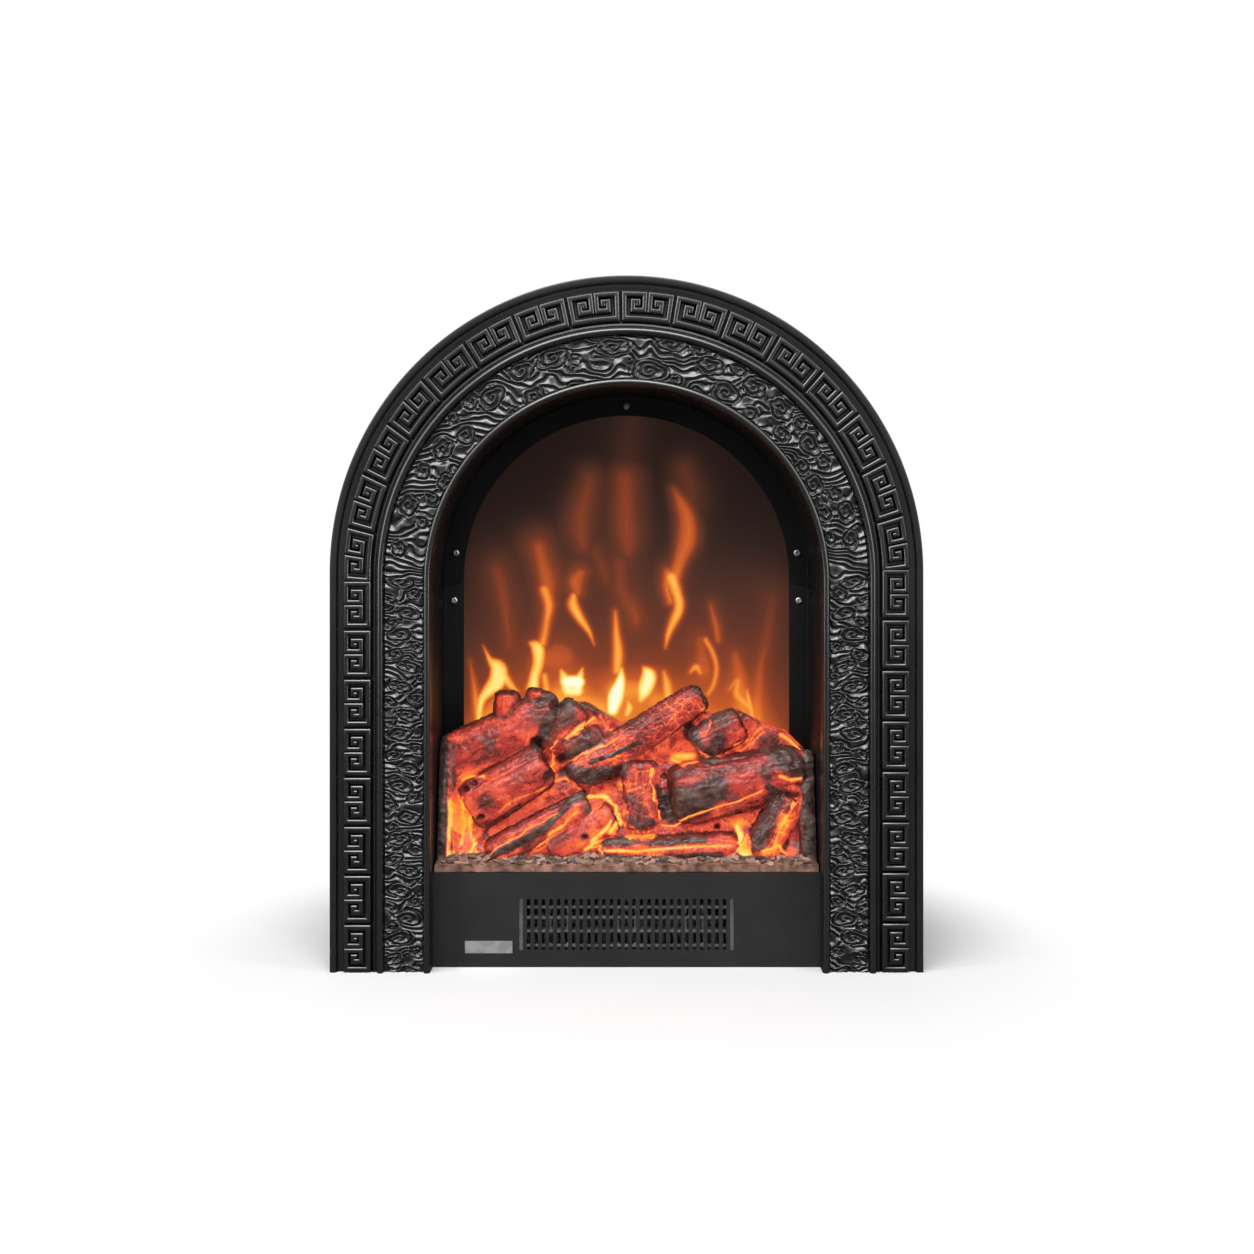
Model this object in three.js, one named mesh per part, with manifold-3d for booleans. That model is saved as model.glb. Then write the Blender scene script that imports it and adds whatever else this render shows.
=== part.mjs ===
// Electric fireplace insert: a moulded arch surround on a sheet casing that holds the log set,
// the flame effect and a blower heater. Millimetres, +Z up, the front faces -Y.
// The origin is at the middle of the foot of the whole insert.

import * as THREE from 'three';
import { mergeVertices } from 'three/addons/utils/BufferGeometryUtils.js';
import Module from 'manifold-3d';

const wasm = await Module();
wasm.setup();

// Overall size. The depth is the surround's, the firebox's and the effect chamber's together
const overallWidth = 600;
const overallHeight = 704;

// Fits shared by all pieces
const seatGap = 0.3;
const runningGap = 0.05;
const cutOverrun = 5;

// Surround: one moulding, hollow at the back
const surroundDepth = 22;
const bandWidth = 102;
const crownWidth = 112;
const reliefDepth = 6.5;
const mouldingWall = 5.5;
const outerRimWidth = 14;
const innerRimWidth = 10;
const middleRibWidth = 12;

// Key pattern: ridges in a band of the surround, each unit one line that curls in at both ends
const keyRidgeWidth = 3.2;
const keyRidgeHeight = 2.6;
const keyDraft = 0.5;
const keyGap = 3.5;
const keyUnitsOnLeg = 8;
const keyUnitsOnArch = 16;

// Sheet metal
const casingSheet = 1.2;
const panelSheet = 1.5;
const surroundLap = 60;

// Firebox
const fireboxDepth = 100;
const effectDepth = 72;
const screenFlangeWidth = 21;
const linerSeamDrop = 9.5;
const flangeSeamDrop = 4;
const screenThickness = 3;
const screenOverlap = 7;

// Lower panel and its grille
const panelHeight = 96.3;
const panelLap = 6;
const slotCount = 29;
const slotPitch = 7.7;
const slotWidth = 3.6;
const slotBottom = 17;
const slotTopDrop = 5.3;
const panelReturn = 18;

// Screws that hold the liner to the screen frame
const screwHeadRadius = 3.75;
const screwHeadHeight = 2.4;
const screwShankRadius = 1.9;
const screwHoleRadius = 2.2;
const screwLength = 9;
const hoodScrewHeight = 27.6;
const jambScrewDrop = 24;

// Log set, a hollow moulding that stands on the shelf
const logSetHeight = 186;
const logSetSideGap = 1.5;
const logWall = 6;
const emberCaveSideWall = 12;
const emberCaveHeight = 34;
const emberBoardWidth = 22;
const emberBoardInset = 24;
const emberBoardThickness = 1.6;
const emberLampSize = 5;
const emberLampCount = 6;

// Blower, a tangential fan on a shaft that runs along X
const fanAxisBack = 95;
const fanRise = 2;
const wheelRadius = 25;
const wheelInnerRadius = 19;
const wheelDiscThickness = 2;
const bladeCount = 14;
const bladeThickness = 1;
const shaftRadius = 2.5;
const scrollGap = 2.5;
const scrollGrowth = 6;
const scrollSheet = 1.2;
const wheelEndGap = 3;
const bushRadius = 5;
const bushLength = 6;

// Heater at the blower's mouth
const ductHalfWidth = 112;
const ductBottom = 13;
const ductHeadroom = 21.3;
const ductDepth = 33;
const heaterDepth = 14;
const heaterBarHeight = 2.6;
const heaterEndWidth = 6;
const heaterFinThickness = 0.8;
const heaterFinCount = 12;
const cutoutRadius = 8;
const cutoutHeight = 7;

// Fan motor, a shaded-pole motor on the blower's right end
const motorGap = 12;
const coreThickness = 18;
const coreHalfHeight = 24;
const coreFront = 20;
const coreBack = 48;
const coreLegWidth = 12;
const windowWidth = 16;
const windowHalfHeight = 14;
const rotorRadius = 12.4;
const rotorAirGap = 0.6;
const rotorOverhang = 1;
const coilOverhang = 8;
const coilBuild = 11;
const postRadius = 2;
const postInset = 6;
const motorStrapSheet = 1.5;
const motorStrapGap = 3;

// Flame effect behind the screen
const flameAxisRise = 38;
const flameMotorRoom = 16.5;
const flameSleeveRadius = 4;
const vaneSweepGap = 4.75;
const vaneThickness = 1;
const vaneCount = 12;
const vaneTurnDegrees = 50;
const bracketWidth = 26;
const bracketFoot = 14;
const bracketSheet = 1.5;
const flameMotorDepth = 17;
const templateHeight = 150;
const templateLap = 8;
const templateSheet = 1;
const templateFoot = 10;
const lampStripGap = 1;
const lampStripWidth = 10;
const lampStripInset = 7;
const lampCount = 8;

// Controls
const boardLength = 84;
const boardWidth = 58;
const boardThickness = 1.6;
const standoffHeight = 8;
const standoffRadius = 3;
const boardMargin = 5;
const switchHeight = 31;
const switchWidth = 14;
const switchBezel = 2;
const switchWall = 1.6;
const switchDepth = 22;
const switchZ = 45;
const switchInset = 65;
const rockerProud = 3;
const rockerEndGap = 1.2;
const rockerTiltDegrees = 12;
const glandProud = 6;
const glandFlangeRadius = 9;
const glandNeckRadius = 6.5;
const glandBoreRadius = 3.6;
const glandTail = 8;
const glandInset = 35;
const glandHeight = 30;

// Back cover vents
const ventLength = 62;
const ventWidth = 5;
const ventPitch = 12;
const ventRows = 3;
const ventSideways = 50;
const lowVentBottom = 24;
const highVentRise = 106;

// Facets
const arcSteps = 30;
const sheetArcSteps = 14;
const roundSides = 16;
const slotSteps = 2;
const screwSides = 8;

// Places worked out from the sizes
const outerRadius = overallWidth / 2;
const outerSpring = overallHeight - outerRadius;
const openingRadius = outerRadius - bandWidth;
const openingSpring = overallHeight - crownWidth - openingRadius;
const casingHalfWidth = outerRadius - surroundLap;
const overallDepth = surroundDepth + fireboxDepth + effectDepth + glandProud;
const frontY = -overallDepth / 2;
const surroundBackY = frontY + surroundDepth;
const coverBackY = surroundBackY + fireboxDepth + effectDepth;
const coverFrontY = coverBackY - panelSheet;
const sheetFrontY = surroundBackY + seatGap;
const panelBackY = sheetFrontY + panelSheet;
const insideFrontY = panelBackY + seatGap;
const insideBackY = coverFrontY - seatGap;
const flangeFrontY = surroundBackY + fireboxDepth;
const screenFrontY = flangeFrontY + casingSheet + seatGap;
const screenBackY = screenFrontY + screenThickness;
const frameFrontY = screenBackY + seatGap;
const linerOuterRadius = openingRadius + casingSheet;
const insideRadius = casingHalfWidth - casingSheet - seatGap;
const shelfTopZ = panelHeight;
const standZ = shelfTopZ + seatGap;
const screenRadius = openingRadius - screenFlangeWidth;
const fanY = frontY + fanAxisBack;
const ductTop = shelfTopZ - ductHeadroom;
const fanZ = (ductBottom + ductTop) / 2 + fanRise;
const templateBackY = frameFrontY + casingSheet + seatGap + templateFoot;
const flameY = (templateBackY + coverFrontY) / 2;
const flameZ = shelfTopZ + flameAxisRise;
const vaneRadius = (coverFrontY - templateBackY) / 2 - vaneSweepGap;
const flameShaftHalfLength = insideRadius - flameMotorDepth - flameMotorRoom;
const floorInsideZ = panelSheet + seatGap;
const switchX = casingHalfWidth - switchInset;
const glandX = casingHalfWidth - glandInset;
const highVentBottom = openingSpring + highVentRise;

// Materials
function finish(color, roughness, metalness, extra = {}) {
  return new THREE.MeshStandardMaterial({ color, roughness, metalness, ...extra });
}

const finishes = {
  satinBlack: () => finish(0x2e2e30, 0.42, 0.1),
  matteBlack: () => finish(0x1b1b1c, 0.6, 0.2),
  powderBlack: () => finish(0x2f2f30, 0.75, 0.1),
  galvanised: () => finish(0x9a9c9c, 0.45, 0.8),
  steel: () => finish(0xb8b8b6, 0.3, 1),
  aluminium: () => finish(0xc4c4c2, 0.4, 0.9),
  bronze: () => finish(0xa07a48, 0.4, 0.9),
  smoked: () => finish(0x24160f, 0.25, 0, { transparent: true, opacity: 0.55 }),
  ember: () => finish(0x8a4234, 0.8, 0, { emissive: 0x401008 }),
  circuit: () => finish(0x2d5b3a, 0.6, 0),
  copper: () => finish(0x9c5a34, 0.5, 0.6),
  laminated: () => finish(0x6f7274, 0.5, 0.8),
  black: () => finish(0x151515, 0.5, 0),
  mirror: () => finish(0xd8d8d6, 0.15, 1),
};

// Solids: a closed mesh goes into a manifold, is cut or joined there and comes back
function toManifold(geometry) {
  const bare = geometry.clone();
  bare.deleteAttribute('normal');
  bare.deleteAttribute('uv');
  const merged = mergeVertices(bare);
  return new wasm.Manifold(new wasm.Mesh({
    numProp: 3,
    vertProperties: new Float32Array(merged.attributes.position.array),
    triVerts: new Uint32Array(merged.index.array),
  }));
}

function fromManifold(manifold) {
  const mesh = manifold.getMesh();
  const geometry = new THREE.BufferGeometry();
  geometry.setAttribute('position', new THREE.BufferAttribute(new Float32Array(mesh.vertProperties), 3));
  geometry.setIndex(new THREE.BufferAttribute(new Uint32Array(mesh.triVerts), 1));
  geometry.computeVertexNormals();
  return geometry;
}

function join(...geometries) {
  return fromManifold(geometries.map(toManifold).reduce((whole, piece) => whole.add(piece)));
}

function cut(geometry, ...tools) {
  const whole = toManifold(geometry);
  return fromManifold(tools.map(toManifold).reduce((rest, tool) => rest.subtract(tool), whole));
}

function overlapOf(geometry, other) {
  return fromManifold(toManifold(geometry).intersect(toManifold(other)));
}

// A shape drawn on X and Z, given a thickness along Y
const facingFront = new THREE.Matrix4().makeBasis(
  new THREE.Vector3(1, 0, 0), new THREE.Vector3(0, 0, 1), new THREE.Vector3(0, -1, 0));

function plate(shape, nearY, farY, curveSegments = sheetArcSteps) {
  const settings = { depth: farY - nearY, bevelEnabled: false, curveSegments };
  return new THREE.ExtrudeGeometry(shape, settings).applyMatrix4(facingFront).translate(0, farY, 0);
}

// A section drawn on Y and Z, run along X
const alongX = new THREE.Matrix4().makeBasis(
  new THREE.Vector3(0, 1, 0), new THREE.Vector3(0, 0, 1), new THREE.Vector3(1, 0, 0));

function run(shape, leftX, rightX) {
  const settings = { depth: rightX - leftX, bevelEnabled: false };
  return new THREE.ExtrudeGeometry(shape, settings).applyMatrix4(alongX).translate(leftX, 0, 0);
}

function block([leftX, rightX], [nearY, farY], [lowZ, highZ]) {
  const geometry = new THREE.BoxGeometry(rightX - leftX, farY - nearY, highZ - lowZ);
  return geometry.translate((leftX + rightX) / 2, (nearY + farY) / 2, (lowZ + highZ) / 2);
}

function rodX(radius, leftX, rightX, y, z, sides = roundSides) {
  const geometry = new THREE.CylinderGeometry(radius, radius, rightX - leftX, sides);
  return geometry.rotateZ(-Math.PI / 2).translate((leftX + rightX) / 2, y, z);
}

function rodY(radius, nearY, farY, x, z, sides = roundSides) {
  return new THREE.CylinderGeometry(radius, radius, farY - nearY, sides).translate(x, (nearY + farY) / 2, z);
}

function rodZ(radius, lowZ, highZ, x, y, sides = roundSides) {
  const geometry = new THREE.CylinderGeometry(radius, radius, highZ - lowZ, sides);
  return geometry.rotateX(Math.PI / 2).translate(x, y, (lowZ + highZ) / 2);
}

// The corner radius of a faceted bore that leaves a round of this radius free
function boreRadius(radius, sides = roundSides) {
  return radius / Math.cos(Math.PI / sides);
}

function polygon(points) {
  return new THREE.Shape(points.map(([across, up]) => new THREE.Vector2(across, up)));
}

// An arched doorway outline: straight sides up to the spring line and a half round above
function archShape(radius, springZ, footZ) {
  const shape = new THREE.Shape();
  shape.moveTo(-radius, footZ);
  shape.lineTo(radius, footZ);
  shape.lineTo(radius, springZ);
  shape.absarc(0, springZ, radius, 0, Math.PI, false);
  return shape;
}

// The band between two arched outlines, open at its foot
function archBand(outer, inner, springZ, footZ) {
  const shape = new THREE.Shape();
  shape.moveTo(-inner, footZ);
  shape.lineTo(-inner, springZ);
  shape.absarc(0, springZ, inner, Math.PI, 0, true);
  shape.lineTo(inner, footZ);
  shape.lineTo(outer, footZ);
  shape.lineTo(outer, springZ);
  shape.absarc(0, springZ, outer, 0, Math.PI, false);
  shape.lineTo(-outer, footZ);
  return shape;
}

// An upright slot with round ends
function slotShape(x, lowZ, highZ, width) {
  const radius = width / 2;
  const shape = new THREE.Shape();
  shape.moveTo(x + radius, lowZ + radius);
  shape.lineTo(x + radius, highZ - radius);
  shape.absarc(x, highZ - radius, radius, 0, Math.PI, false);
  shape.lineTo(x - radius, lowZ + radius);
  shape.absarc(x, lowZ + radius, radius, Math.PI, 2 * Math.PI, false);
  return shape;
}

function levelSlotShape(middleX, z, length, width) {
  const radius = width / 2;
  const reach = length / 2 - radius;
  const shape = new THREE.Shape();
  shape.moveTo(middleX - reach, z - radius);
  shape.lineTo(middleX + reach, z - radius);
  shape.absarc(middleX + reach, z, radius, -Math.PI / 2, Math.PI / 2, false);
  shape.lineTo(middleX - reach, z + radius);
  shape.absarc(middleX - reach, z, radius, Math.PI / 2, 3 * Math.PI / 2, false);
  return shape;
}

// The outline of a strip of even thickness along a line of points
function ribbonShape(points, thickness) {
  const left = [];
  const right = [];
  points.forEach((point, index) => {
    const before = points[Math.max(index - 1, 0)];
    const after = points[Math.min(index + 1, points.length - 1)];
    const along = after.clone().sub(before).normalize();
    const side = new THREE.Vector2(-along.y, along.x).multiplyScalar(thickness / 2);
    left.push(point.clone().add(side));
    right.push(point.clone().sub(side));
  });
  return new THREE.Shape([...left, ...right.reverse()]);
}

// Joins rings of as many points each into one closed body with a cap on both ends
function loft(rings, capOutline) {
  const count = rings[0].length;
  const positions = rings.flat().flatMap((point) => point.toArray());
  const faces = [];
  for (let ring = 0; ring + 1 < rings.length; ring += 1) {
    for (let point = 0; point < count; point += 1) {
      const here = ring * count + point;
      const next = ring * count + (point + 1) % count;
      faces.push([here, next, next + count], [here, next + count, here + count]);
    }
  }
  const outlineTurn = Math.sign(THREE.ShapeUtils.area(capOutline));
  const last = (rings.length - 1) * count;
  for (const [a, b, c] of THREE.ShapeUtils.triangulateShape(capOutline, [])) {
    const turn = Math.sign(THREE.ShapeUtils.area([capOutline[a], capOutline[b], capOutline[c]]));
    const [p, q, r] = turn === outlineTurn ? [a, b, c] : [c, b, a];
    faces.push([r, q, p], [last + p, last + q, last + r]);
  }
  const geometry = new THREE.BufferGeometry();
  geometry.setAttribute('position', new THREE.Float32BufferAttribute(positions, 3));
  geometry.setIndex(faces.flat());
  if (signedVolume(geometry) < 0) {
    geometry.setIndex(faces.flatMap(([a, b, c]) => [c, b, a]));
  }
  return geometry;
}

function signedVolume(geometry) {
  const corners = geometry.attributes.position;
  const index = geometry.index.array;
  const corner = (slot) => new THREE.Vector3().fromBufferAttribute(corners, index[slot]);
  let sum = 0;
  for (let slot = 0; slot < index.length; slot += 3) {
    sum += corner(slot).dot(corner(slot + 1).cross(corner(slot + 2)));
  }
  return sum / 6;
}

const insert = new THREE.Group();

function add(name, geometry, material) {
  const mesh = new THREE.Mesh(geometry, material);
  mesh.name = name;
  insert.add(mesh);
}

// Surround: its front profile, as shares of the band's width and of the relief's depth, from the
// outer edge to the opening: rim, groove, ground of the key pattern, cove, bead, ground of the
// cloud pattern and inner bead
const profileShares = [
  [0, 0.8], [0.012, 0.54], [0.066, 0.54], [0.085, 1.15], [0.106, 1.15], [0.112, 0.92], [0.42, 0.92],
  [0.452, 0.68], [0.458, 0.88], [0.47, 0.88], [0.476, 0.25], [0.492, 0], [0.515, 0], [0.532, 0.25],
  [0.54, 1], [0.928, 1], [0.934, 0.25], [0.95, 0], [0.972, 0], [1, 0.6],
];
const middleRibShare = 0.5;
const keyBandShares = [0.162, 0.407];

function surroundProfile() {
  const front = profileShares.map(([across, drop]) => [across * bandWidth, frontY + drop * reliefDepth]);
  const hollowY = frontY + reliefDepth + mouldingWall;
  const ribMiddle = middleRibShare * bandWidth;
  const back = [
    [bandWidth, surroundBackY],
    [bandWidth - innerRimWidth, surroundBackY],
    [bandWidth - innerRimWidth, hollowY],
    [ribMiddle + middleRibWidth / 2, hollowY],
    [ribMiddle + middleRibWidth / 2, surroundBackY],
    [ribMiddle - middleRibWidth / 2, surroundBackY],
    [ribMiddle - middleRibWidth / 2, hollowY],
    [outerRimWidth, hollowY],
    [outerRimWidth, surroundBackY],
    [0, surroundBackY],
  ];
  return [...front, ...back];
}

// The outer and the opening's arcs have centres at two heights, and every arc between them
// takes its centre in proportion
function bandPoint(across, y, station) {
  const radius = outerRadius - across;
  const spring = outerSpring + (openingSpring - outerSpring) * across / bandWidth;
  if (station.foot) return new THREE.Vector3(station.foot * radius, y, 0);
  return new THREE.Vector3(radius * Math.cos(station.angle), y, spring + radius * Math.sin(station.angle));
}

// Half of a unit's line, as shares of its length from one end and of its width from the inner side
const keyShares = [[0.2, 0.69], [0.2, 0.35], [0.44, 0.35], [0.44, 1], [0, 1], [0, 0]];
const keyGroundShare = 0.92;

function keyLine(length, width) {
  const half = keyShares.map(([along, across]) => new THREE.Vector2(along * length, across * width));
  const mirrored = half.map((point) => new THREE.Vector2(length - point.x, point.y)).reverse();
  return [...half, ...mirrored];
}

// Both sides of a square-cornered line, moved out by the same distance
function squareOutline(line, distance) {
  const sides = [1, -1].map((sign) => line.map((point, index) => {
    const before = index > 0 ? point.clone().sub(line[index - 1]).normalize() : null;
    const after = index + 1 < line.length ? line[index + 1].clone().sub(point).normalize() : null;
    const first = before ?? after;
    const second = after ?? before;
    const corner = point.clone();
    corner.add(new THREE.Vector2(-first.y, first.x).multiplyScalar(sign * distance));
    if (before && after) corner.add(new THREE.Vector2(-second.y, second.x).multiplyScalar(sign * distance));
    return corner;
  }));
  return [...sides[0], ...sides[1].reverse()];
}

// Where a length along the key band and a distance across it lie on the surround
function keyPoint(along, across, y, place) {
  if (place.leg) return new THREE.Vector3(place.leg * (outerRadius - across), y, place.footZ + along);
  return bandPoint(across, y, { angle: place.startAngle - along / place.radius });
}

function keyRidge(length, place) {
  const [bandStart, bandEnd] = keyBandShares.map((share) => share * bandWidth);
  const width = bandEnd - bandStart - keyRidgeWidth;
  const line = keyLine(length - keyGap - keyRidgeWidth, width);
  const outline = squareOutline(line, keyRidgeWidth / 2);
  const inner = squareOutline(line, keyRidgeWidth / 2 - keyDraft);
  const shift = (keyGap + keyRidgeWidth) / 2;
  const lift = (points, y) => points.map((point) => (
    keyPoint(point.x + shift, bandEnd - keyRidgeWidth / 2 - point.y, y, place)));
  const groundY = frontY + keyGroundShare * reliefDepth;
  return loft([lift(outline, groundY + mouldingWall / 2), lift(inner, groundY - keyRidgeHeight)], outline);
}

function keyRidges() {
  const ridges = [];
  const legPitch = outerSpring / keyUnitsOnLeg;
  for (const leg of [-1, 1]) {
    for (let unit = 0; unit < keyUnitsOnLeg; unit += 1) {
      ridges.push(keyRidge(legPitch, { leg, footZ: unit * legPitch }));
    }
  }
  const radius = outerRadius - bandWidth * (keyBandShares[0] + keyBandShares[1]) / 2;
  for (let unit = 0; unit < keyUnitsOnArch; unit += 1) {
    const startAngle = Math.PI * (1 - unit / keyUnitsOnArch);
    ridges.push(keyRidge(Math.PI * radius / keyUnitsOnArch, { startAngle, radius }));
  }
  return ridges;
}

function surround() {
  const profile = surroundProfile();
  const stations = [{ foot: -1 }];
  for (let step = 0; step <= arcSteps; step += 1) stations.push({ angle: Math.PI * (1 - step / arcSteps) });
  stations.push({ foot: 1 });
  const rings = stations.map((station) => profile.map(([across, y]) => bandPoint(across, y, station)));
  return join(loft(rings, profile.map(([across, y]) => new THREE.Vector2(across, y))), ...keyRidges());
}

// Lower panel: a coated sheet with round-ended slots and a return along its foot
function lowerPanel() {
  const halfWidth = openingRadius + panelLap;
  const face = polygon([
    [-halfWidth, 0], [halfWidth, 0], [halfWidth, panelHeight], [-halfWidth, panelHeight],
  ]);
  for (let index = 0; index < slotCount; index += 1) {
    const x = (index - (slotCount - 1) / 2) * slotPitch;
    face.holes.push(slotShape(x, slotBottom, ductTop - slotTopDrop, slotWidth));
  }
  const floorReturn = block(
    [-halfWidth, halfWidth],
    [sheetFrontY, panelBackY + panelReturn],
    [floorInsideZ, floorInsideZ + panelSheet]);
  return join(plate(face, sheetFrontY, panelBackY, slotSteps), floorReturn);
}

// Casing: a rolled sheet with a turned-in flange in front, notched round the lower panel
function casingWrap() {
  const wallBand = archBand(casingHalfWidth, casingHalfWidth - casingSheet, openingSpring, 0);
  const wall = plate(wallBand, sheetFrontY, insideBackY);
  const flangeBand = archBand(casingHalfWidth, linerOuterRadius + seatGap, openingSpring, 0);
  const flange = plate(flangeBand, sheetFrontY, sheetFrontY + casingSheet);
  const notchHalfWidth = openingRadius + panelLap + seatGap;
  const notch = block(
    [-notchHalfWidth, notchHalfWidth],
    [sheetFrontY - cutOverrun, insideFrontY + cutOverrun],
    [-cutOverrun, panelHeight + seatGap]);
  return join(wall, cut(flange, notch));
}

function basePlate() {
  return block([-insideRadius, insideRadius], [insideFrontY, insideBackY], [0, panelSheet]);
}

// Shelf between the heater compartment and the firebox, with a turned-down front
const shelfTurnDown = 14;

function shelfPlate() {
  const deck = block(
    [-insideRadius, insideRadius], [insideFrontY, insideBackY], [shelfTopZ - panelSheet, shelfTopZ]);
  const lip = block(
    [-openingRadius, openingRadius],
    [insideFrontY, insideFrontY + panelSheet],
    [shelfTopZ - shelfTurnDown, shelfTopZ]);
  return join(deck, lip);
}

// Back cover with intake and outlet vents, a gland hole and a switch hole
function backCover() {
  const vents = [];
  for (const bottom of [lowVentBottom, highVentBottom]) {
    for (let row = 0; row < ventRows; row += 1) {
      for (const side of [-1, 1]) {
        const slot = levelSlotShape(side * ventSideways, bottom + row * ventPitch, ventLength, ventWidth);
        vents.push(plate(slot, coverFrontY - cutOverrun, coverBackY + cutOverrun, slotSteps));
      }
    }
  }
  const [nearY, farY] = [coverFrontY - cutOverrun, coverBackY + cutOverrun];
  const neckHole = rodY(boreRadius(glandNeckRadius + seatGap), nearY, farY, glandX, glandHeight);
  const reachX = switchInnerHalfWidth() + seatGap;
  const reachZ = switchInnerHalfHeight() + seatGap;
  const switchHole = block(
    [switchX - reachX, switchX + reachX], [nearY, farY], [switchZ - reachZ, switchZ + reachZ]);
  const sheet = plate(archShape(casingHalfWidth, openingSpring, 0), coverFrontY, coverBackY);
  return cut(sheet, ...vents, neckHole, switchHole);
}

// Liner: a hood over the top and two side walls, each with a flange that laps the flame screen
function linerHood() {
  const farY = flangeFrontY + casingSheet;
  const wallBand = archBand(linerOuterRadius, openingRadius, openingSpring, openingSpring - linerSeamDrop);
  const wall = plate(wallBand, sheetFrontY, farY);
  const flangeBand = archBand(linerOuterRadius, screenRadius, openingSpring, openingSpring - flangeSeamDrop);
  const flange = plate(flangeBand, flangeFrontY, farY);
  return cut(join(wall, flange), ...hoodScrewPlaces().map(screwHole));
}

function linerSide(side) {
  const wallTop = openingSpring - linerSeamDrop - seatGap;
  const flangeTop = openingSpring - flangeSeamDrop - seatGap;
  const [wallLow, wallHigh] = [side * openingRadius, side * linerOuterRadius].sort((a, b) => a - b);
  const [flangeLow, flangeHigh] = [side * screenRadius, side * openingRadius].sort((a, b) => a - b);
  const wall = block([wallLow, wallHigh], [sheetFrontY, flangeFrontY + casingSheet], [standZ, wallTop]);
  const web = block([flangeLow, flangeHigh], [flangeFrontY, flangeFrontY + casingSheet], [standZ, flangeTop]);
  return cut(join(wall, web), screwHole(jambScrewPlace(side)));
}

const screwCircle = openingRadius - screenFlangeWidth / 2;

function hoodScrewPlaces() {
  const sideways = Math.sqrt(screwCircle ** 2 - hoodScrewHeight ** 2);
  return [
    [0, openingSpring + screwCircle],
    [-sideways, openingSpring + hoodScrewHeight],
    [sideways, openingSpring + hoodScrewHeight],
  ];
}

function jambScrewPlace(side) {
  return [side * screwCircle, openingSpring - jambScrewDrop];
}

function screwHole([x, z]) {
  const radius = boreRadius(screwHoleRadius, screwSides);
  return rodY(radius, flangeFrontY - cutOverrun, frameFrontY + cutOverrun, x, z, screwSides);
}

function linerScrew([x, z]) {
  const headBackY = flangeFrontY - seatGap;
  const head = rodY(screwHeadRadius, headBackY - screwHeadHeight, headBackY, x, z, screwSides);
  const shankNearY = headBackY - screwHeadHeight / 2;
  const shank = rodY(screwShankRadius, shankNearY, headBackY + screwLength, x, z, screwSides);
  return join(head, shank);
}

// Screen frame: the bulkhead between the firebox and the effect chamber
function screenFrame() {
  const face = archBand(insideRadius, screenRadius, openingSpring, standZ);
  const holes = [...hoodScrewPlaces(), jambScrewPlace(-1), jambScrewPlace(1)].map(screwHole);
  return cut(plate(face, frameFrontY, frameFrontY + casingSheet), ...holes);
}

function flameScreen() {
  return plate(archShape(screenRadius + screenOverlap, openingSpring, standZ), screenFrontY, screenBackY);
}

// Log set: logs as shares of the bed. Each row gives the two ends, as shares of the width from the
// middle, of the height above the shelf and of the depth from the front, and the radius as a share
// of the height
const logShares = [
  { from: [-0.49, 0.5, 0.72], to: [-0.19, 0.8, 0.72], radius: 0.15 },
  { from: [-0.245, 0.81, 0.72], to: [-0.225, 0.905, 0.7], radius: 0.08 },
  { from: [-0.32, 0.75, 0.68], to: [-0.32, 0.905, 0.64], radius: 0.066 },
  { from: [-0.41, 0.31, 0.44], to: [-0.215, 0.56, 0.48], radius: 0.138 },
  { from: [-0.36, 0.07, 0.34], to: [-0.105, 0.34, 0.38], radius: 0.088 },
  { from: [-0.2, 0.1, 0.38], to: [-0.045, 0.24, 0.44], radius: 0.095 },
  { from: [-0.21, 0.69, 0.68], to: [-0.12, 0.875, 0.7], radius: 0.083 },
  { from: [-0.17, 0.63, 0.58], to: [-0.06, 0.72, 0.6], radius: 0.066 },
  { from: [-0.14, 0.48, 0.56], to: [0.21, 0.925, 0.76], radius: 0.1 },
  { from: [0.195, 0.64, 0.64], to: [0.315, 0.77, 0.66], radius: 0.11 },
  { from: [0.12, 0.38, 0.44], to: [0.47, 0.56, 0.6], radius: 0.17 },
  { from: [0.035, 0.52, 0.5], to: [0.035, 0.2, 0.42], radius: 0.095 },
  { from: [-0.075, 0.075, 0.36], to: [0.3, 0.1, 0.36], radius: 0.072 },
  { from: [0.345, 0.07, 0.38], to: [0.43, 0.38, 0.42], radius: 0.1 },
  { from: [0.465, 0.07, 0.5], to: [0.475, 0.345, 0.52], radius: 0.088 },
  { from: [-0.475, 0.02, 0.5], to: [-0.465, 0.345, 0.54], radius: 0.11 },
];
const logSides = 8;
const logRings = 3;
const barkShare = 0.07;

// The heap behind and under the logs, as shares of the depth from the front and of the height
const heapShares = [
  [0, 0], [1, 0], [1, 0.66], [0.8, 0.66], [0.62, 0.5], [0.42, 0.16], [0.3, 0.06], [0, 0.03],
];

function logBed() {
  const halfWidth = openingRadius - logSetSideGap;
  return { halfWidth, nearY: panelBackY - seatGap, farY: flangeFrontY - seatGap };
}

function bedPoint([across, up, back]) {
  const bed = logBed();
  return new THREE.Vector3(
    across * 2 * bed.halfWidth, bed.nearY + back * (bed.farY - bed.nearY), standZ + up * logSetHeight);
}

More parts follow.
